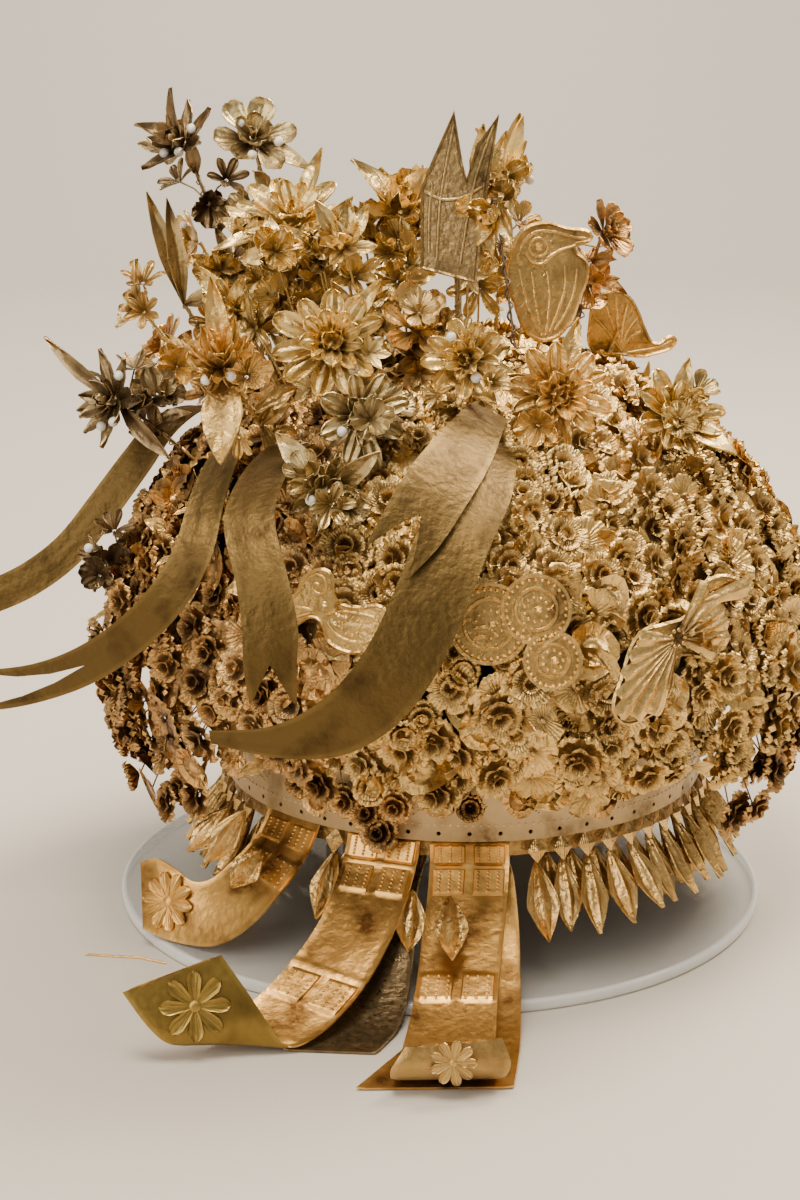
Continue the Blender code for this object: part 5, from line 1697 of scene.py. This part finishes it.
def petal_layers(base, kind, petals, radius, lean):
    """The layers of petals of one blossom, steeper towards the middle."""
    size = radius / PETAL_LENGTH
    made = []
    for model, fewer, steeper, long, wide in KINDS[kind]:
        count = max(4, petals + fewer)
        first = bush.uniform(0.0, 1.0)
        for n in range(count):
            spin = first + math.tau * (n + bush.uniform(-0.12, 0.12)) / count
            tilt = math.radians(lean + steeper + bush.uniform(-8.0, 8.0))
            stretch = size * long * bush.uniform(0.88, 1.08)
            broad = size * wide * bush.uniform(0.85, 1.15)
            place = base @ petal_place(spin, tilt, 0.4, steeper * 0.03, (stretch, broad, size * 1.1))
            made.append(copy_of(model, place, bush.uniform(-0.5, 0.5)))
    return made


def named_leaves(name, root, facing):
    """The leaves that the table gives to one blossom."""
    made = []
    for owner, tip, width in LEAVES:
        if owner == name:
            laid = hung(root, Vector(tip) * MM, facing, LEAF_LENGTH)
            shape = Matrix.Diagonal((1.0, width / LEAF_WIDTH, 1.4, 1.0))
            made.append(copy_of(leaf, laid @ shape, bush.uniform(-0.6, 0.2)))
    return made


def twig_leaves(stem):
    """Small leaves scattered along a stem."""
    made = []
    for _ in range(TWIG_LEAVES):
        root = stem[int(bush.uniform(0.35, 0.95) * STEM_STEPS)]
        out = Vector([bush.uniform(-1.0, 1.0) for _ in range(3)]).normalized()
        tip = root + (out + Vector((0.0, -0.3, 0.5))).normalized() * bush.uniform(12.0, 20.0) * MM
        laid = hung(root, tip, Vector((bush.uniform(-0.6, 0.6), -1.0, 0.6)), LEAF_LENGTH)
        shape = Matrix.Diagonal((1.0, bush.uniform(0.7, 1.3), 1.0, 1.0))
        made.append(copy_of(leaf, laid @ shape, bush.uniform(-1.0, 0.5)))
    return made


def floret(model, base, tilts, size, tone):
    """A small flower of six petals, each tilted by chance between two angles."""
    made = []
    for n in range(FLORET_PETALS):
        tilt = math.radians(bush.uniform(*tilts))
        place = base @ petal_place(math.tau * n / FLORET_PETALS, tilt, 0.3, 0.0, size)
        made.append(copy_of(model, place, tone))
    return made


def twig_florets(stem):
    """Florets on twigs of wire, scattered along a stem."""
    made = []
    for _ in range(TWIG_FLORETS):
        root = stem[int(bush.uniform(0.5, 0.95) * STEM_STEPS)]
        out = (Vector([bush.uniform(-1.0, 1.0) for _ in range(3)]) + Vector((0.0, -0.5, 0.3))).normalized()
        spot = root + out * bush.uniform(9.0, 17.0) * MM
        elbow = root.lerp(spot, 0.5) + Vector((0.0, 0.0, 1.5)) * MM
        made.append(wire("twig", [root, elbow, spot], 0.4, 0))
        base = frame_at(spot, out + Vector((0.0, -0.8, 0.5)), bush.uniform(0.0, 6.0))
        small = bush.uniform(0.36, 0.56)
        model = bush.choice((spoon, pointed, outlined, crumpled))
        tone = bush.uniform(-1.0, 0.8)
        made += floret(model, base, (15.0, 50.0), (small, small * 1.1, small), tone)
    return made


def pearls_on_springs(base, centre, radius, count):
    """The pearls above a blossom, and the springs that carry them."""
    beads = []
    springs = []
    for n in range(count):
        turn = math.tau * n / count + bush.uniform(0.0, 1.0)
        reach = radius * bush.uniform(0.35, 0.6)
        spot = base @ (Vector((reach * math.cos(turn), reach * math.sin(turn), bush.uniform(4.0, 7.0))) * MM)
        beads.append(copy_of(pearl, Matrix.Translation(spot)))
        springs.append(wire("pearl_wire", wound(centre, spot, 0.5, 1.8, 5), 0.22, 0))
    return beads, springs


print("blossom parts ready")

# %% [markdown]
# One function puts a blossom together from its row: petals, hub, stem with its binding, leaves, florets and
# pearls. Pearls are a piece of their own, because they have another material.

# %% The blossoms
def blossom(name, head, facing, kind, petals, radius, cup, coat, slot, pearls):
    """One blossom with its stem, pearls and leaves. Hands back how many faces it has."""
    centre = Vector(head) * MM
    base = frame_at(centre, facing, bush.uniform(0.0, 6.0))
    parts = petal_layers(base, kind, petals, radius, math.degrees(math.atan2(cup, radius)))
    hub = ball("hub", radius * 0.13, (0.0, 0.0, 1.2), 10, 5, 0.7)
    hub.data.transform(base)
    parts.append(hub)
    root = centre - Vector(facing).normalized() * 0.9 * MM
    stem = stem_route(root, facing)
    parts += bound_stem(stem)
    parts += named_leaves(name, root, facing)
    parts += twig_leaves(stem)
    parts += twig_florets(stem)
    beads, springs = pearls_on_springs(base, centre, radius, pearls)
    node = "leaf_cluster_dark" if name == "dark" else "blossom_" + name
    piece = join("foil_" + node, [*parts, *springs])
    dress(piece, coat, (node,))
    if beads:
        dress(join(piece.name + "_pearls", beads), PEARL)
    return len(piece.data.polygons)


def bound_stem(route):
    """A stem with its wire binding."""
    return [wire("stem", route, 0.8), wire("binding", wound(route[0], route[-1], 1.3, 5.0, 5), 0.28, 0)]


faces = [blossom(*row) for row in BLOSSOMS]
print(len(faces), "blossoms,", sum(faces), "faces")

# %% [markdown]
# Between the named blossoms the bush is a thicket of small florets and leaves, too many to place by hand.
# They are strewn in an egg-shaped space by the same seeded chance, and each has a stem of its own, so none
# hangs in the air. A particle system would strew them too, but it gives no stems.

# %% Florets that fill the bush
FILLER_MIDDLE = (-42.0, -24.0, 262.0)
FILLER_REACH = (66.0, 34.0, 26.0)
FILLER_FLORETS = 46

parts = []
for _ in range(FILLER_FLORETS):
    offset = Vector([bush.uniform(-1.0, 1.0) for _ in range(3)])
    if offset.length > 1.0:
        offset.normalize()
    spot = Vector([m + r * a for m, r, a in zip(FILLER_MIDDLE, FILLER_REACH, offset)]) * MM
    facing = Vector((bush.uniform(-0.7, 0.7), -1.0, bush.uniform(-0.1, 1.0)))
    base = frame_at(spot, facing, bush.uniform(0.0, 6.0))
    small = bush.uniform(0.38, 0.66)
    model = bush.choice((spoon, pointed, crumpled, crumpled, outlined))
    tone = bush.uniform(-1.0, 1.0)
    parts += floret(model, base, (5.0, 55.0), (small, small, small * 1.2), tone)
    for _ in range(3):
        reach = [bush.uniform(-16.0, 16.0), bush.uniform(-8.0, 8.0), bush.uniform(-4.0, 20.0)]
        tip = spot + Vector(reach) * MM
        parts.append(copy_of(leaf, hung(spot, tip, facing, LEAF_LENGTH), bush.uniform(-1.0, 0.5)))
    parts.append(wire("stem", stem_route(spot, facing), 0.5, 0))
finished("foil_filler", parts, PALE_FOIL, "pale_gilt")

# %% [markdown]
# Between the rosettes lie larger stamped plates: a cluster of round medallions and two bows, and above them,
# on wires, a bird's head, a wing and a folded leaf. Each is a flat outline with a raised rim, which comes
# from the inset tool. Wires pressed half into its face draw the folds. Sculpting them would give softer
# folds, but the plates are stamped sheet, and stamped folds are round ridges like these.

# %% Stamped plates
RIDGE_STEPS = 6
RIDGE_DEPTH = -0.55


def plate_frame(centre, right, up, way=(1.0, 0.0, 0.0), travel=0.0):
    """A plate's own frame: X to its right, Y up and Z out of its face."""
    x_way = Vector(right).normalized()
    normal = x_way.cross(Vector(up)).normalized()
    turn = Matrix((x_way, normal.cross(x_way), normal)).transposed().to_4x4()
    return Matrix.Translation(Vector(centre) * MM + Vector(way).normalized() * travel * MM) @ turn


def outlined_plate(name, place, outline, thickness, rim, curved=True):
    """A plate from its outline in its own frame, with its rim raised on the face."""
    line = bpy.data.curves.new(name, "CURVE")
    line.dimensions = "2D"
    line.fill_mode = "BOTH"
    line.resolution_u = 5
    spline = line.splines.new("BEZIER")
    spline.bezier_points.add(len(outline) - 1)
    for point, (x, y) in zip(spline.bezier_points, outline):
        point.co = (x * MM, y * MM, 0.0)
        handle = "AUTO" if curved else "VECTOR"
        point.handle_left_type = handle
        point.handle_right_type = handle
    spline.use_cyclic_u = True
    made = bpy.data.objects.new(name, line)
    bpy.context.scene.collection.objects.link(made)
    take(made)
    bpy.ops.object.convert(target="MESH")
    made = bpy.context.object
    start_edit(made)
    bpy.ops.mesh.select_all(action="SELECT")
    bpy.ops.mesh.remove_doubles(threshold=0.02 * MM)
    bpy.ops.mesh.normals_make_consistent(inside=False)
    bpy.ops.mesh.inset(thickness=rim * MM, depth=0.0)
    shift(0.0, 0.0, -0.9 * MM)
    end_edit()
    if sum(face.normal.z for face in made.data.polygons) < 0.0:
        made.data.flip_normals()
    mark(made, "wear_and_shade", lambda v: 0.9 if v.z > -0.5 * MM else 0.5)
    thicken(made, thickness)
    smooth(made, 40.0)
    made.data.transform(place)
    return made


def pressed_line(place, spots, radius=0.7):
    """A round ridge through points of a plate, in millimetres."""
    smooth_spots = []
    for t in range(RIDGE_STEPS * (len(spots) - 1) + 1):
        x, y = between_rows(spots, t / RIDGE_STEPS)
        smooth_spots.append(place @ (Vector((x, y, RIDGE_DEPTH)) * MM))
    made = wire("ridge", smooth_spots, radius)
    mark(made, "wear_and_shade", 0.95)
    return made


print("plate maker ready")

# %% [markdown]
# Plates bear rings of pressed dots, and the bows are fans of pleats, each a long petal from the pinched
# middle to the edge. The pleats could be inset in the plate too, but they overlap as real pleats do.

# %% Dots and pleats
PLEAT_LENGTH = 30.0
PLEAT_LIFT = 0.4
PLEAT_ROWS = (
    (0.0, 0.7, 0.0), (5.0, 1.4, 0.5), (12.0, 2.3, 0.9), (20.0, 3.1, 1.1), (27.0, 3.7, 0.9),
    (30.0, 3.5, 0.5), (31.0, 2.4, 0.3),
)

stud = ball("stud", 1.0, segments=6, rings=4, flat=0.7)
pleat = foil_petal("pleat", PLEAT_ROWS, 1.3, 0.4, -0.2)
MODELS.append(stud)


def dots_on(place, centre, radius, count, size, lift):
    """A ring of pressed dots on a plate."""
    made = []
    for n in range(count):
        turn = math.tau * n / count
        spot = Vector((centre[0] + radius * math.cos(turn), centre[1] + radius * math.sin(turn), lift)) * MM
        made.append(copy_of(stud, place @ Matrix.Translation(spot) @ Matrix.Scale(size, 4)))
    return made


def pleats(place, pinch, tips, wide):
    """A fan of pleats from a pinched point to points along a plate's edge."""
    made = []
    face = place.to_3x3() @ Vector((0.0, 0.0, 1.0))
    root = place @ (Vector((*pinch, PLEAT_LIFT)) * MM)
    for x, y in tips:
        laid = hung(root, place @ (Vector((x, y, PLEAT_LIFT)) * MM), face, PLEAT_LENGTH)
        made.append(copy_of(pleat, laid @ Matrix.Diagonal((1.0, wide, 1.0, 1.0)), bush.uniform(-0.4, 0.4)))
    return made


print("pleat", len(pleat.data.polygons), "faces")

# %% [markdown]
# The three medallions start as cylinders whose face is inset again and again, up and down, so that each
# has a rim, a groove and a boss. Then come their rings of dots, one within another. A turned profile would
# give the same rings, but the inset steps can be read off as they are pressed.

# %% Medallions
MEDALLION_WAY = ((-0.1, 1.0, 0.0), 6.95)
MEDALLION_THICKNESS = 1.6
# Each row is the place of the middle, the radius and how much the disc leans.
MEDALLIONS = (
    (6.0, -146.0, 156.0, 15.0, 0.05),
    (23.0, -144.6, 161.0, 13.0, 0.09),
    (29.0, -148.7, 143.0, 11.0, 0.12),
)


def medallion_steps(size):
    """How far each ring is inset and how far it rises, from the rim inwards."""
    groove = ((1.2, 0.0), (0.5, -0.8), (0.22 * size, 0.0))
    ring = ((0.4, 0.7), (0.9, 0.0), (0.4, -0.7))
    return (*groove, *ring, (0.2 * size, 0.3))


parts = []
for x, y, z, size, lean in MEDALLIONS:
    place = plate_frame((x, y, z), (1.0, lean, 0.0), (0.0, 0.25, 1.0), *MEDALLION_WAY)
    deselect()
    bpy.ops.mesh.primitive_cylinder_add(vertices=40, radius=size * MM, depth=MEDALLION_THICKNESS * MM)
    disc = bpy.context.object
    start_edit(disc)
    pick("FACE", lambda middle: middle.z > 0.7 * MM)
    for step, rise in medallion_steps(size):
        bpy.ops.mesh.inset(thickness=step * MM, depth=rise * MM)
    disc = end_edit()
    mark(disc, "wear_and_shade", lambda v: 0.85 if v.z > 0.5 * MM else 0.45)
    smooth(disc, 40.0)
    disc.data.transform(place)
    parts.append(disc)
    parts += dots_on(place, (0.0, 0.0), size * 0.84, int(size * 2.2), 0.8, 0.5)
    parts += dots_on(place, (0.0, 0.0), size * 0.34, int(size * 0.9), 0.7, 0.5)
    parts += dots_on(place, (0.0, 0.0), size * 0.08, 1, 1.6, 0.8)
finished("medallions_stamped", parts, PLATE_FOIL, "olive_gilt", "medallion_plates")

# %% [markdown]
# The right bow is two fans and a tail, pinched at a ring of dots. Like the medallions it is moved along its
# own way to where its solid is seated.

# %% The right bow
BOW_WALL = 1.2
BOW_RIGHT = (
    (-28, -26), (-24, -9), (-16, 4), (-5, 6), (6, 8), (14, 19), (32, 17), (34, 13), (20, 9), (24, -3),
    (16, -9), (0, -8), (-2, -18), (-12, -27),
)
RIGHT_FAN_LEFT = ((-27, -24), (-26, -18), (-24, -11), (-21, -5), (-17, 2), (-20, -26), (-12, -26))
RIGHT_FAN_RIGHT = ((14, 18), (19, 13), (21, 8), (23, 3), (23, -3), (17, -8))

place = plate_frame((80, -132, 146), (0.86, 0.5, 0.0), (0.0, 0.15, 1.0), (-0.5, 0.85, 0.0), 10.35)
parts = [outlined_plate("bow_right", place, BOW_RIGHT, BOW_WALL, 0.8)]
parts += pleats(place, (0, 0), RIGHT_FAN_LEFT, 0.95)
parts += pleats(place, (0, 0), RIGHT_FAN_RIGHT, 0.8)
parts += pleats(place, (10, 12), ((33, 15),), 1.0)
parts += dots_on(place, (0.0, 0.0), 3.2, 9, 0.9, 1.6)
finished("bow_right_stamped", parts, PLATE_FOIL, "pale_gilt", "bow_plate_right")

# %% [markdown]
# The left bow has two rimmed lobes and a small spiral. The spiral's radius grows by the same step with each
# point, which a short formula says better than a list.

# %% The left bow
BOW_LEFT = (
    (-29, -2), (-24, 5), (-12, 4), (-6, 13), (3, 15), (6, 5), (14, 3), (24, 4), (27, 0), (26, -8),
    (17, -14), (4, -12), (-2, -3), (-12, -8), (-25, -12),
)
LOBE_RIGHT = ((2, -1), (8, 0.5), (16, 0.5), (22, -1), (23, -6), (17, -10), (8, -9), (2, -3))
LOBE_LEFT = ((-3, 0), (-10, 0.5), (-18, 0), (-25, -3), (-20, -7), (-12, -4), (-4, -1))
SPIRAL_MIDDLE = (-1.5, 9.0)
SPIRAL_STEP = 0.45
SPIRAL_TURN = 0.8


def on_circle(middle, radius, turn):
    """A point on a circle in a plate's own frame."""
    return (middle[0] + radius * math.cos(turn), middle[1] + radius * math.sin(turn))


place = plate_frame((-62, -142, 158), (0.93, -0.36, 0.0), (0.0, 0.1, 1.0), (0.4, 0.9, 0.0), 14.45)
parts = [outlined_plate("bow_left", place, BOW_LEFT, BOW_WALL, 0.9)]
parts.append(pressed_line(place, LOBE_RIGHT))
parts.append(pressed_line(place, LOBE_LEFT))
spiral = [on_circle(SPIRAL_MIDDLE, SPIRAL_STEP * n, SPIRAL_TURN * n) for n in range(12)]
parts.append(pressed_line(place, spiral, 0.6))
parts += dots_on(place, (12.0, -4.5), 3.4, 9, 0.8, -0.3)
finished("bow_left_stamped", parts, ROSETTE_GILT, "gilt", "bow_plate_left")

# %% [markdown]
# The bird's head stands on a wire at the top of the bush, so its stem takes the same route as a blossom's.
# The eye is a ring with a bead in it. The folds of the neck run together as they go down.

# %% The bird's head
PLATE_WAY = (0.0, -1.0, 0.2)
BIRD = (
    (-15, 12), (-11, 19), (-2, 22), (6, 20), (17, 16), (10, 12), (15, 6), (12, -8), (7, -19), (0, -24),
    (-8, -22), (-14, -10), (-17, 2),
)
BIRD_FOLDS = (
    ((-13, 7), (-11, 14), (-5, 18.5), (3, 18), (10, 16), (15, 15.5)),
    ((-1, 8), (4, 11), (9, 12.5), (14, 14.5)),
    ((-9.5, 10), (-7, 6.5), (-3, 6), (0.5, 9)),
    ((-12, 4), (-10, -6), (-7, -15), (-4, -21)),
    ((-7, 3), (-6, -6), (-4.5, -15), (-3, -22)),
    ((-1, 3), (0, -6), (-0.5, -14), (-1.5, -22)),
    ((6, 5), (6, -4), (3.5, -12), (0, -21)),
    ((11, 4), (9.5, -6), (6, -14), (2, -20)),
)
EYE = (-4.4, 12.4)
EYE_RADIUS = 3.6

place = plate_frame((32, -30, 266), (1.0, 0.1, 0.0), (0.0, 0.1, 1.0))
parts = [outlined_plate("bird", place, BIRD, 1.4, 0.9)]
for fold in BIRD_FOLDS:
    parts.append(pressed_line(place, fold, 0.85))
parts.append(pressed_line(place, [on_circle(EYE, EYE_RADIUS, math.tau * n / 12) for n in range(13)]))
parts += dots_on(place, EYE, 0.0, 1, 2.0, -0.2)
parts += dots_on(place, EYE, 5.4, 14, 0.5, -0.4)
parts += bound_stem(stem_route(Vector((31.0, -30.0, 258.0)) * MM, PLATE_WAY))
finished("bird_head_stamped", parts, PLATE_FOIL, "pale_gilt", "bird_head")

# %% [markdown]
# The wing's ribs fan out from one point near its foot, so a loop draws them from a list of their tips. The
# middle of each rib bows a little towards the foot.

# %% The winged plate
WING_WALL = 1.2
WING = (
    (-11, -10), (-13, 2), (-10, 13), (-3, 16), (3, 14), (8, 7), (11, 0), (16, -7), (23, -4), (25, -7),
    (16, -12), (10, -13), (2, -12),
)
WING_TIPS = ((-11, 5), (-7, 12), (-2, 13.5), (3, 10.5), (7, 4), (9.5, -2))
WING_TAIL = ((4, -11), (12, -10), (18, -8.5), (23, -6))

place = plate_frame((66, 38, 236), (1.0, 0.1, 0.0), (0.0, -0.1, 1.0))
parts = [outlined_plate("wing", place, WING, WING_WALL, 0.9)]
for tip in WING_TIPS:
    parts.append(pressed_line(place, ((1, -10), (0.45 * tip[0], 0.5 * tip[1] - 4), tip), 0.8))
parts.append(pressed_line(place, WING_TAIL, 0.8))
parts += dots_on(place, (-1.0, 1.0), 9.0, 18, 0.6, -0.4)
parts += bound_stem(stem_route(Vector((66.0, 38.0, 236.0)) * MM, PLATE_WAY))
finished("wing_stamped", parts, PLATE_FOIL, "warm_gilt", "winged_plate")

# %% [markdown]
# The box leaf is a sheet folded upright, with two points and straight edges, so its outline has sharp
# corners. Its stem runs steeply down, because it stands high above the middle of the bush.

# %% The box leaf
LEAF_WALL = 1.2
BOX_LEAF = (
    (-12, -24), (9, -29), (11, -7), (13, 8), (17, 34), (9, 22), (5, 10), (3, 16), (0, 35), (-8, 16),
    (-12, 6),
)
BOX_LEAF_FOLDS = (
    ((-6, -20), (-5, 0), (-3, 14), (0, 30)),
    ((3, -22), (6, -2), (9, 12), (15, 30)),
    ((-9, -18), (-9, -4), (-8, 8)),
    ((-11, 5), (-4, 2), (4, 3), (11, 7)),
)

place = plate_frame((-7, -60, 298), (1.0, -0.15, 0.0), (0.0, 0.05, 1.0))
parts = [outlined_plate("box_leaf", place, BOX_LEAF, LEAF_WALL, 0.8, curved=False)]
for fold in BOX_LEAF_FOLDS:
    parts.append(pressed_line(place, fold, 0.8))
parts += bound_stem(stem_route(Vector((-5.0, -60.0, 280.0)) * MM, PLATE_WAY, 0.95))
finished("box_leaf_stamped", parts, LEAF_BROWN, "olive_gilt", "box_leaf")

# %% [markdown]
# At the far left three long narrow leaves stand up from one stem like a sprig of willow. They are the leaf
# of the blossoms, stretched to where each tip is.

# %% The willow spray
SPRAY_HEAD = (-117.0, 24.0, 248.0)
SPRAY_LEAVES = (((-131, 20, 295), 8), ((-122, 12, 293), 8), ((-95, 2, 259), 7))

parts = bound_stem(stem_route(Vector(SPRAY_HEAD) * MM, (0.0, -1.0, 0.3)))
for tip, width in SPRAY_LEAVES:
    laid = hung(Vector(SPRAY_HEAD) * MM, Vector(tip) * MM, (0.2, -1.0, 0.2), LEAF_LENGTH)
    parts.append(copy_of(leaf, laid @ Matrix.Diagonal((1.0, width / LEAF_WIDTH, 1.5, 1.0)), -0.3))
finished("willow_spray_foil", parts, OLIVE_FOIL, "olive_gilt", "willow_spray")

# %% [markdown]
# Low on both sides and behind, small clusters of rosettes hang clear of the dome on wires, and in front a
# few hang over the band. Without them the outline would be round, and the real one looks frayed there.
# They are copies of the models that are already there.

# %% Clusters that hang from the rim
HANGER_THICKNESS = 0.35
# Each row is the first and last angle of a stretch of the rim, and how many rosettes hang there.
STRETCHES = ((180.0, 214.0, 14), (-36.0, 14.0, 14), (20.0, 160.0, 26))
OVERHANGING = (
    (-66.3, -84.0, 76.5), (-59.1, -89.0, 70.0), (-48.4, -95.0, 72.2), (-39.4, -99.0, 68.8),
    (-34.8, -101.0, 61.3), (-28.9, -103.0, 72.7), (-11.6, -106.0, 76.3), (-0.1, -107.0, 74.2),
    (40.6, -99.0, 79.8), (50.9, -94.0, 71.9), (19.1, -105.0, 75.9),
)

fray = random.Random(9)


def hanging_rosette(spot, facing, sizes, tones):
    """A rosette in the air, its size and tone drawn by chance between two numbers."""
    size = fray.uniform(*sizes)
    base = frame_at(spot, facing, fray.uniform(0.0, 6.0)) @ Matrix.Diagonal((size, size, size * 1.3, 1.0))
    return copy_of(fray.choice(ROSETTES), base, fray.uniform(*tones))


def sagging(root, sag, tip):
    """Points of a wire from its root to its tip that is drawn towards a point between them."""
    shares = (0, 0.25, 0.5, 0.75, 1)
    return [(root * (1 - s) + sag * s) * (1 - s) + (sag * (1 - s) + tip * s) * s for s in shares]


parts = []
for low, high, count in STRETCHES:
    for n in range(count):
        turn = math.radians(low + (high - low) * (n + fray.uniform(0.1, 0.9)) / count)
        reach = fray.uniform(126.0, 140.0)
        spot = Vector((reach * math.cos(turn), reach * math.sin(turn), fray.uniform(58.0, 84.0))) * MM
        root = Vector((118.0 * math.cos(turn), 118.0 * math.sin(turn), 94.0)) * MM
        facing = Vector((math.cos(turn), math.sin(turn), fray.uniform(-0.6, 0.3)))
        parts.append(hanging_rosette(spot, facing, (0.7, 1.05), (-1.0, 0.3)))
        sag = root.lerp(spot, 0.5) + Vector((0.0, 0.0, fray.uniform(2.0, 5.0))) * MM
        parts.append(wire("hanger", sagging(root, sag, spot), HANGER_THICKNESS, 0))
for place in OVERHANGING:
    spot = Vector(place) * MM
    facing = Vector((place[0], place[1], fray.uniform(-10.0, 30.0)))
    parts.append(hanging_rosette(spot, facing, (0.62, 0.85), (-0.8, 0.2)))
    root = Vector((place[0] * 1.05, place[1] * 1.05, 92.0)) * MM
    parts.append(wire("hanger", [root, root.lerp(spot, 0.5), spot], HANGER_THICKNESS, 0))
finished("hanging_clusters", parts, ROSETTE_RUST, "rust_gilt")

# %% [markdown]
# A few kites have slipped over the strips and lie loose on them, and the bare end of a wire sticks out at
# the curl of the middle strip. Each kite is laid from the place of its top to the place of its tip.

# %% Loose kites and the end of a wire
LOOSE_KITES = (
    ((-81.6, -86.0, 47.2), (-93.2, -94.0, 35.1), (-0.3, -0.9, 0.5)),
    ((-22.3, -108.0, 40.0), (-23.9, -120.0, 19.3), (0.2, -0.9, 0.3)),
    ((-7.9, -121.0, 42.9), (-7.5, -145.0, 27.0), (0.0, -0.7, 0.7)),
    ((-88.3, -80.0, 62.2), (-102.3, -84.0, 42.1), (-0.5, -0.8, 0.3)),
    ((-96.0, -66.0, 58.0), (-112.0, -68.0, 40.0), (-0.8, -0.6, 0.3)),
)
WIRE_END = ((-112, -168, 36), (-122, -166, 37.4), (-132, -163, 36.6), (-142.5, -160, 36))

parts = []
for top, tip, facing in LOOSE_KITES:
    laid = hung(Vector(top) * MM, Vector(tip) * MM, facing, KITE_LENGTH)
    parts.append(copy_of(kite, laid, fray.uniform(-0.3, 0.6)))
parts.append(wire("wire_end", [Vector(spot) * MM for spot in WIRE_END], 0.5))
finished("loose_kites", parts, KITE_GILT, "gilt")

# %% [markdown]
# Beside the folded leaf are scraps of crumpled foil. Each is a leaf from its foot to its tip, with two
# crumpled petals at the foot. A cloth simulation would crumple one sheet better, but at this size a few
# bent petals read as the same thing.

# %% Scraps of foil
SCRAPS = (
    ((2.0, -35.0, 300.0), (5.0, -40.0, 327.0)), ((6.0, -34.0, 298.0), (14.0, -36.0, 324.0)),
    ((10.0, -32.0, 300.0), (22.0, -34.0, 320.0)), ((12.0, -34.0, 304.0), (20.0, -40.0, 330.0)),
    ((8.0, -36.0, 308.0), (2.0, -46.0, 292.0)), ((12.0, -38.0, 306.0), (14.0, -48.0, 286.0)),
    ((6.0, -60.0, 298.0), (8.0, -68.0, 280.0)), ((10.0, -60.0, 300.0), (15.0, -70.0, 284.0)),
    ((8.0, -62.0, 296.0), (2.0, -70.0, 284.0)),
)

parts = []
for foot, tip in SCRAPS:
    facing = (fray.uniform(-0.6, 0.6), -1.0, fray.uniform(-0.2, 0.5))
    laid = hung(Vector(foot) * MM, Vector(tip) * MM, facing, LEAF_LENGTH)
    parts.append(copy_of(leaf, laid, fray.uniform(-0.3, 0.9)))
    for _ in range(2):
        turn = fray.uniform(0.0, 6.0)
        tilt = math.radians(fray.uniform(20.0, 70.0))
        place = petal_place(turn, tilt, 0.5, 0.0, (0.6, 0.55, 0.8))
        parts.append(copy_of(crumpled, frame_at(Vector(foot) * MM, facing) @ place, fray.uniform(-0.3, 0.9)))
finished("foil_scraps", parts, PALE_FOIL, "pale_gilt")

# %% [markdown]
# A dark wire twisted round another runs from the folded leaf down into the bush. It is a spring round a
# straight core.

# %% The twisted wire
TWIST_TOP = (9.0, -60.0, 300.0)
TWIST_FOOT = (16.0, -86.0, 248.0)

top = Vector(TWIST_TOP) * MM
foot = Vector(TWIST_FOOT) * MM
parts = [wire("twist", wound(top, foot, 1.3, 9.0, 8), 0.45), wire("core", [top, foot], 0.5)]
finished("twisted_wire", parts, WIRE_DARK, "dark_gilt")

# %% [markdown]
# The gaps between the rosettes are dark but not empty. Behind and between them sit small leaves, strewn
# with the same golden angle and turned every way. Bump in the gaps would be lighter, but it would stay flat
# where the light rakes over it.

# %% Foil between the rosettes
LITTER_COUNT = 620
LITTER_LOWEST_SINE = -0.5
LITTER_SWAY = 0.9
LITTER_FOOT = 88.0

parts = []
for number in range(LITTER_COUNT):
    way = golden_ray(number, LITTER_COUNT, LITTER_LOWEST_SINE, LITTER_SWAY)
    spot = mantle_tree.ray_cast(DOME_MIDDLE + way * RAY_START, -way)[0]
    if spot is None or spot.z < LITTER_FOOT * MM:
        continue
    lean = Vector([fray.uniform(-1.0, 1.0) for _ in range(3)])
    tip = spot + (way * 0.7 + lean).normalized() * fray.uniform(7.0, 11.0) * MM
    laid = hung(spot - way * 2.0 * MM, tip, way + lean * 0.3, LEAF_LENGTH)
    wide = fray.uniform(0.6, 1.1)
    parts.append(copy_of(leaf, laid @ Matrix.Diagonal((1.0, wide, 0.6, 1.0)), fray.uniform(-1.0, 0.6)))
finished("foil_between", parts, ROSETTE_GILT, "gilt")

# %% [markdown]
# Last, the models whose copies were made are removed.

# %% Removing the models
away(*MODELS)
